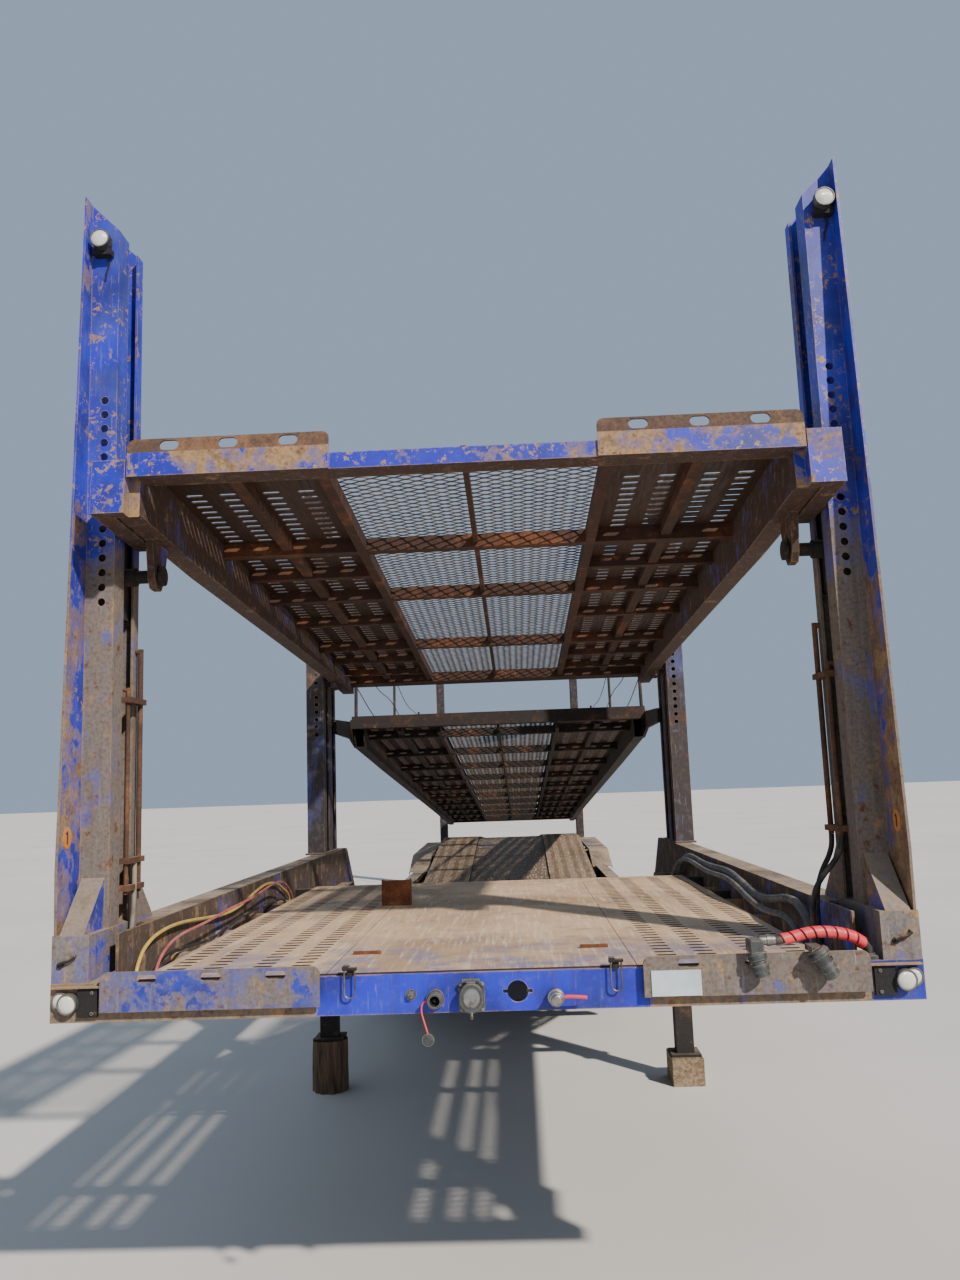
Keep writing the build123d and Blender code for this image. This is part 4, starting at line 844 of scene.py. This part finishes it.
def tread_tyre(b, x, y, z, r=0.394, w=0.235, n=120):
    """Truck tyre: round sidewalls with raised rings, five ribs with grooves, blocks on the shoulders."""
    h = w / 2
    half = [(h - 0.018, 0.225), (h - 0.012, 0.240), (h - 0.003, 0.268), (h - 0.0005, 0.286), (h + 0.0005, 0.289),
            (h - 0.0002, 0.300), (h - 0.001, 0.318), (h - 0.006, 0.340), (h - 0.010, 0.352), (h - 0.0105, 0.357),
            (h - 0.017, 0.370), (h - 0.022, 0.379), (h - 0.028, 0.386), (h - 0.040, r - 0.0042)]
    grooves = [0.068, 0.030, -0.012, -0.052]
    across = []
    for g in (0.056, 0.019, -0.019, -0.056):
        across += [(g + 0.0050, r - 0.0012), (g + 0.0036, r - 0.012), (g - 0.0036, r - 0.012), (g - 0.0050, r - 0.0012)]
    prof = half + across + [(-a, c) for a, c in half[::-1]]
    shoulder = {11, 12, 13, len(prof) - 12, len(prof) - 13, len(prof) - 14}
    vs, fs = [], []
    m = len(prof)
    for i in range(n):
        a = 2 * pi * i / n
        for k, (px, pr) in enumerate(prof):
            rr = pr - 0.006 if k in shoulder and i % 4 == 0 else pr
            vs.append((x + px, Y(y) + rr * sin(a), z + rr * cos(a)))
    for i in range(n):
        j = (i + 1) % n
        for k in range(m):
            q = (k + 1) % m
            fs.append([i * m + k, i * m + q, j * m + q, j * m + k])
    b.add((vs, fs), 0)


def details(M):
    # lamps on the front beam and on the masts
    b = Build()
    for s, xi, zi, xo, zo in ((-1, -1.1965, 1.161, -1.222, 1.167), (1, 1.1975, 1.163, 1.222, 1.169)):
        lamp_shape(b, xo, zo, -0.001, 0.027, 0.012)
        lamp_shape(b, xi, zi, -0.004, 0.030, 0.022)
        x0, x1 = sorted((s * 1.112, s * 1.170))
        b.box(x0, x1, -0.012, -0.001, 1.121, 1.200, mat=2)
        b.box(min(s * 1.10, s * 1.245), max(s * 1.10, s * 1.245), -0.022, -0.001, 1.204, 1.2085, mat=3)
        for zz in (1.132, 1.190):
            b.hex(P(s * 1.127, -0.012, zz), (0, -1, 0), 0.0055, 0.004, mat=1)
    for x, z in ((-1.197, 3.600), (1.206, 3.612)):
        lamp_shape(b, x, z, 0.126, 0.033, 0.030)
        b.box(x - 0.030, x + 0.030, 0.118, 0.149, z - 0.047, z - 0.026, mat=2)
        b.box(x - 0.022, x + 0.022, 0.126, 0.150, z - 0.030, z + 0.022, mat=2)
        b.tube([P(x + 0.012, 0.142, z - 0.04), P(x + 0.016, 0.144, z - 0.07), P(x + 0.006, 0.147, z - 0.10),
                P(x + 0.002, 0.149, z - 0.128)], 0.0032, mat=2)
    b.make("lamp_units", [M["lens"], M["grey"], M["bracket"], M["rib"]], "chassis", "lamps", 30)

    # socket, couplings and bolt on the front beam
    b = Build()
    ring = []
    for cx, cz, a0 in ((0.026, 0.030, 0), (-0.026, 0.030, 90), (-0.026, -0.030, 180), (0.026, -0.030, 270)):
        for k in range(5):
            a = radians(a0 + 22.5 * k)
            ring.append((cx + 0.012 * cos(a), cz + 0.012 * sin(a)))
    b.prism([(q, p) for p, q in ring][::-1], 0.010, P(-0.028, -0.0005, 1.148), (0, -1, 0), up=(0, 0, 1), chamfer=0.002)
    b.lathe([(0.010, 0.0), (0.010, 0.035), (0.030, 0.034), (0.033, 0.031), (0.033, 0.027), (0.028, 0.026), (0.028, 0.0)],
            P(-0.028, -0.0005, 1.148), (0, -1, 0), n=32)
    lid = [(0.041 * cos(2 * pi * k / 28), 0.0365 * sin(2 * pi * k / 28)) for k in range(28)]
    b.prism(lid, 0.009, P(-0.028, -0.033, 1.150), (0.0, -1, 0.10), up=(0, 0, 1), chamfer=0.004)
    b.prism([(p * 0.62, q * 0.62) for p, q in lid], 0.004, P(-0.028, -0.0415, 1.151), (0.0, -1, 0.10), up=(0, 0, 1),
            chamfer=0.002, mat=1)
    b.tube([P(-0.052, -0.026, 1.196), P(-0.004, -0.026, 1.196)], 0.0062, n=12)
    b.box(-0.040, -0.016, -0.036, -0.004, 1.188, 1.194)
    b.tube([P(-0.028, -0.040, 1.112), P(-0.028, -0.047, 1.104), P(-0.028, -0.044, 1.096)], 0.004)
    for dx in (-0.031, 0.031):
        for dz in (-0.035, 0.035):
            b.hex(P(-0.028 + dx, -0.010, 1.148 + dz), (0, -1, 0), 0.0046, 0.003, mat=1)
    # coupling whose cap hangs on a cord: the open end faces the front
    b.lathe([(0.0, 0.0), (0.0, 0.026), (0.012, 0.026), (0.014, 0.019), (0.030, 0.018), (0.032, 0.0215), (0.044, 0.0215),
             (0.046, 0.020), (0.046, 0.015)], P(-0.132, -0.0005, 1.146), (0, -1, 0), n=28)
    # the bore inside the open end takes the near-black material: painted shade
    b.lathe([(0.046, 0.015), (0.026, 0.0135), (0.026, 0.006), (0.034, 0.005), (0.034, 0.0)], P(-0.132, -0.0005, 1.146),
            (0, -1, 0), n=28, mat=2)
    # coupling with a bent lever
    b.lathe([(0.0, 0.0), (0.0, 0.024), (0.018, 0.024), (0.021, 0.015), (0.030, 0.015), (0.031, 0.020), (0.049, 0.020),
             (0.051, 0.015), (0.060, 0.014), (0.0615, 0.011), (0.0615, 0.0)], P(0.212, -0.0005, 1.142), (0, -1, 0), n=28,
            mat=1)
    b.tube([P(0.222, -0.042, 1.147), P(0.248, -0.044, 1.149), P(0.276, -0.042, 1.147), P(0.298, -0.038, 1.144)], 0.0052,
           n=10, mat=3)
    b.lathe([(0.0, 0.0), (0.0, 0.016), (0.002, 0.016), (0.002, 0.0)], P(-0.203, -0.0005, 1.157), (0, -1, 0), n=20)
    b.hex(P(-0.203, -0.0025, 1.157), (0, -1, 0), 0.0115, 0.011)
    b.lathe([(0.0, 0.0052), (0.015, 0.0052), (0.0158, 0.0), ], P(-0.203, -0.0025, 1.157), (0, -1, 0), n=12)
    # the two couplings over the right-hand flap
    for org, d, k in (((0.776, -0.053, 1.254), (0.2, -0.12, -0.97), 0), ((0.944, -0.060, 1.250), (0.5, -0.08, -0.86), 1)):
        o = P(*org)
        if k == 0:
            b.lathe([(-0.006, 0.0), (0.0, 0.022), (0.004, 0.026), (0.020, 0.026), (0.024, 0.0195), (0.032, 0.0195),
                     (0.034, 0.0235), (0.050, 0.0235), (0.053, 0.0205), (0.064, 0.0205), (0.066, 0.019), (0.066, 0.0135)],
                    o, d, n=24)
            # the bore takes the near-black material: painted shade
            b.lathe([(0.066, 0.0135), (0.046, 0.012), (0.046, 0.0)], o, d, n=24, mat=2)
            b.prism([(0.016, 0.019), (-0.016, 0.019), (-0.019, 0.016), (-0.019, -0.016), (-0.016, -0.019),
                     (0.016, -0.019), (0.019, -0.016), (0.019, 0.016)][::-1], 0.066, P(0.777, -0.004, 1.271), (0, -1, 0),
                    up=(0, 0, 1), chamfer=0.003)
            b.lathe([(0.0, 0.0), (0.0, 0.014), (0.020, 0.014), (0.021, 0.0165), (0.034, 0.0165), (0.036, 0.0145),
                     (0.045, 0.0145), (0.045, 0.0)], P(0.794, -0.012, 1.281), (1, 0, 0.02), n=20, mat=1)
        else:
            b.lathe([(-0.012, 0.0), (-0.010, 0.026), (0.0, 0.033), (0.010, 0.033), (0.013, 0.026), (0.020, 0.0235),
                     (0.036, 0.0235), (0.039, 0.026), (0.052, 0.026), (0.055, 0.022), (0.072, 0.0215), (0.076, 0.018),
                     (0.076, 0.012)], o, d, n=24)
            # the bore takes the near-black material: painted shade
            b.lathe([(0.076, 0.012), (0.060, 0.011), (0.060, 0.0)], o, d, n=24, mat=2)
            b.box(0.928, 0.960, -0.064, 0.010, 1.2505, 1.267)
    b.box(1.094, 1.131, 0.003, 0.041, 1.2155, 1.227)
    b.hex(P(1.112, 0.020, 1.226), (0, 0, 1), 0.017, 0.008, mat=1)
    b.make("front_couplings", [M["grey"], M["chrome"], M["hollow"], M["red"]], "chassis", "front_fittings", 30)

    # hose in its wound strip
    line = route_line(RED_HOSE)
    b = Build()
    b.tube(line, 0.0125, n=14)
    b.make("red_hose_core", [M["black"]], "chassis", "red_spiral_hose", 50)
    b = Build()
    wound_strip(b, line, 0.0132, 0.0168, 0.0315, 0.0275)
    b.make("red_hose_wrap", [M["red"]], "chassis", "red_spiral_hose", 50)

    # wire hasps with small latches in front of the gaps beside the flaps
    b = Build()
    for x0, x1, z1 in ((-0.392, -0.362, 1.238), (0.371, 0.401, 1.240)):
        xm, r = (x0 + x1) / 2, (x1 - x0) / 2
        pts = [P(x0, -0.016, z1), P(x0, -0.017, 1.19)]
        pts += [P(xm - r * cos(pi * k / 8), -0.018, 1.170 - r * sin(pi * k / 8)) for k in range(9)]
        pts += [P(x1, -0.017, 1.19), P(x1, -0.016, z1)]
        b.tube(pts, 0.0026, n=8)
        b.tube([P(x0 - 0.006, -0.016, z1 - 0.001), P(x1 + 0.006, -0.016, z1 - 0.001)], 0.0055, n=10, mat=1)
        b.box(x0 - 0.004, x0 + 0.012, -0.022, 0.006, z1 - 0.004, z1 + 0.007, mat=1)
        b.box(xm - 0.009, xm + 0.009, -0.011, 0.012, 1.2155, z1 - 0.002, mat=1)
    b.make("wire_hasps", [M["bare"], M["dark"]], "chassis", None, 40)

    # flat bars with small keeper tabs on the neck deck
    b = Build()
    for x0, x1 in ((-0.422, -0.334), (0.305, 0.394)):
        b.box(x0, x1, 0.330, 0.344, 1.2203, 1.230)
        b.box(x0 + 0.008, x0 + 0.022, 0.344, 0.372, 1.2203, 1.226)
        b.box(x1 - 0.022, x1 - 0.008, 0.344, 0.372, 1.2203, 1.226)
    b.make("neck_keeper_bars", [M["box"]], "chassis")

    # orange ovals with a plain figure, on the inner faces of the posts' fins
    b = Build()
    for sx, y, z in ((-1, 0.058, 1.631), (1, 0.068, 1.601)):
        ring = [(0.033 * cos(2 * pi * k / 36), 0.0285 * sin(2 * pi * k / 36)) for k in range(36)]
        b.prism(ring, 0.0010, P(sx * 1.2418, y, z), (-sx, 0, 0), up=(0, 0, 1))
        x0, x1 = sorted((sx * 1.2400, sx * 1.2408))
        b.box(x0, x1, y - 0.0035, y + 0.0035, z - 0.019, z + 0.019, mat=1)
        b.box(x0, x1, y - 0.0105 if sx < 0 else y + 0.0030, y - 0.0030 if sx < 0 else y + 0.0105, z + 0.010, z + 0.0155,
              mat=1)
    b.make("number_ovals", [M["orange"], M["ink"]], "chassis")

    # ribs in the troughs beside the neck deck, keepers bent from flat bar on the masts' feet
    b = Build()
    for sx in (-1, 1):
        x0, x1 = sorted((sx * 1.006, sx * 1.136))
        for y in (0.58, 1.10, 1.62, 2.14):
            b.box(x0, x1, y, y + 0.008, 1.132, 1.196)
            b.box(x0, x1, y, y + 0.034, 1.196, 1.203)
        xc = sx * 1.205
        pts = [(xc - 0.022, -0.002, 1.268), (xc - 0.022, -0.014, 1.272), (xc - 0.008, -0.016, 1.278),
               (xc + 0.010, -0.014, 1.282), (xc + 0.022, -0.012, 1.290), (xc + 0.020, -0.002, 1.294)]
        b.tube([P(q[0], q[1] + 0.004, q[2]) for q in pts], 0.0045, n=8, mat=1)
        b.hex(P(xc - 0.022, 0.002, 1.268), (0, -1, 0), 0.010, 0.008, mat=1)
    b.make("trough_ribs", [M["rib"], M["dark"]], "chassis")

    # tyres with tread, nuts on the hubs
    for row, yy in (("front", 10.55), ("rear", 11.86)):
        for side, s in (("left", -1), ("right", 1)):
            b = Build()
            for cx in (0.8325, 1.1175):
                tread_tyre(b, s * cx, yy, 0.394)
            b.make("tread_%s_%s" % (row, side), [M["tyre"]], "twin_%s_%s" % (row, side), "tyres_%s_%s" % (row, side),
                   28)
            b = Build()
            for k in range(10):
                a = 2 * pi * k / 10
                b.hex(P(s * 1.0015, yy + 0.090 * sin(a), 0.394 + 0.090 * cos(a)), (s, 0, 0), 0.013, 0.016, turn=a)
                b.lathe([(0.014, 0.007), (0.030, 0.007), (0.031, 0.0)], P(s * 1.0015, yy + 0.090 * sin(a),
                                                                     0.394 + 0.090 * cos(a)), (s, 0, 0), n=8)
            b.make("hub_nuts_%s_%s" % (row, side), [M["bare"]], "twin_%s_%s" % (row, side))

    # log under the left leg: uneven bark, sawn ends
    b = Build()
    rnd = random.Random(11)
    n, rows = 64, 22
    ph = [(rnd.random() * 6.28, rnd.choice((2, 3, 5, 7, 11, 17)), rnd.uniform(0.0006, 0.0022)) for _ in range(14)]
    vs, fs = [], []
    for k in range(rows + 1):
        z = 0.0005 + 0.2885 * k / rows
        for i in range(n):
            a = 2 * pi * i / n
            r = 0.101 + sum(c * sin(f * a + p + 9.0 * z * ((f % 3) - 1)) for p, f, c in ph)
            r = min(r, 0.1075)
            vs.append(P(-1.04 + r * cos(a), 3.2 + r * sin(a), z))
    for k in range(rows):
        for i in range(n):
            j = (i + 1) % n
            fs.append([k * n + i, k * n + j, (k + 1) * n + j, (k + 1) * n + i])
    fs.append(list(range(n))[::-1])
    fs.append([rows * n + i for i in range(n)])
    b.add((vs, fs))
    b.make("log_round", [M["log"]], "chassis", "support_log", 40)


# ------------------------------------------------------------------ build
def main():
    camera()
    M = materials()

    # cords first
    lanyard = spline_curve("cap_lanyard_cord", LANYARD, 0.0025)
    lanyard.data.materials.append(M["red"])
    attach(lanyard, "chassis")
    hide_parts("cap_lanyard")
    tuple(LANYARD[0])

    table = {
        "front_crossbeam": "beam", "front_flap_plates": "flap", "neck_side_rails": "rail", "side_girders": "rail",
        "inner_girders": "dark", "frame_crossmembers": "dark", "coupling_plate": "dark", "kingpin": "bare",
        "neck_centre_plate": "deck", "lower_centre_plate": "deck_centre_painted_shade", "landing_legs": "dark", "support_log": "log",
        "support_block": "block", "axles": "dark", "suspension": "dark", "mudguards": "rail", "rear_crossbeam": "rail",
        "underrun_bar": "dark", "loading_ramps": "bare", "front_fittings": "grey", "blank_plates": "plate",
        "lamps": "lens", "rear_lamps": "red_lens", "deck_bracket": "box", "front_carriages": "dark",
        "rear_carriages": "dark", "handrail_posts": "dark", "handrail_ropes": "rope", "lanyard_cap": "grey",
        "red_spiral_hose": "red", "front_deck_side_beams": "deck_beam", "front_deck_front_beam": "upper_beam",
        "front_deck_grid": "rust", "rear_deck_side_beams": "rust_rear_painted_shade", "rear_deck_front_beam": "rust_rear_painted_shade",
        "rear_deck_grid": "rust_rear_painted_shade", "pipes_and_clamps": "pipe",
    }
    for n in NODES:
        if n.startswith("tyres_"):
            dress(n, M["tyre"])
        elif n.startswith("wheel_"):
            dress(n, M["wheel"])
        elif "_mast_" in n:
            if n.startswith("front"):
                dress_by(n, [M["mast"], M["fin_in"], M["fin_out"], M["foot"]],
                         lambda x, y, z, nn: 3 if z < 1.352 else (
                             0 if abs(nn.x) < 0.6 or (y > 0.152 and abs(x) < 1.246) else (2 if nn.x * x > 0 else 1)))
            else:
                dress(n, M["mast_rear"] if n.startswith("mid") else M["mast_tail"])
        elif n in table:
            dress(n, M[table[n]])
    # faces that look down take the dark deck-beam paint: painted shade on the underside
    dress_by("front_deck_front_beam", [M["upper_beam"], M["lip"], M["deck_beam"]],
             lambda x, y, z, nn: 2 if nn.z < -0.6 or y > 0.0 else (
                 1 if 0.405 < abs(x) < 1.03 and z > 2.7875 else 0))
    dress_by("right_hoses", [M["hose"], M["black"]], lambda x, y, z, nn: 1 if (z > 1.134 and y < 0.36 and x < 1.2) else 0)
    dress_by("left_cables", [M["yellow"], M["pink"], M["black"], M["hose_foot"]],
             lambda x, y, z, nn: 3 if x < -1.10 else (0 if x < -1.07 else (2 if x < -1.048 else 1)))

    cols = [0.555, 0.675, 0.825, 0.94]
    slotted_pair("front_deck_runway_plates", FRONT_DECK, 0.436, 1.0, cols, [(-0.02, 4.06, 0.29, 0.05)], M["deck_upper"],
                 "front_upper_deck", "front_deck_runways", "deck_steel")
    slotted_pair("rear_deck_runway_plates", REAR_DECK, 0.416, 1.0, cols, [(4.5, 14.72, 0.03, 0.03)], M["deck_upper"],
                 "rear_upper_deck", "rear_deck_runways", "deck_steel")
    neck = along([(0.014, 1.22), (2.65, 1.22)])
    slotted_pair("neck_runway_plates", neck, 0.45, 1.0, cols, [(0.014, 2.65, 0.05, 0.05)], M["deck"], "chassis",
                 "neck_runways", "deck_steel", half_w=0.011)
    low = [(2.652, 1.22), (4.4, 0.62), (7.6, 0.605), (11.2, 0.985), (12.05, 0.985), (14.795, 0.815)]
    slotted_pair("lower_runway_plates", along(low), 0.45, 0.955, [0.53, 0.645, 0.775, 0.885],
                 [(a[0], b[0], 0.03, 0.03) for a, b in zip(low, low[1:])], M["deck_upper"], "chassis", "lower_runways",
                 "deck_steel")
    expanded_mesh("front_deck_mesh_sheet", FRONT_DECK, -0.432, 0.432, 0.01, 4.03, M["mesh"], "front_upper_deck",
                  "front_deck_mesh")
    expanded_mesh("rear_deck_mesh_sheet", REAR_DECK, -0.412, 0.412, 4.51, 14.69, M["mesh"], "rear_upper_deck",
                  "rear_deck_mesh")
    details(M)
    stage()


main()
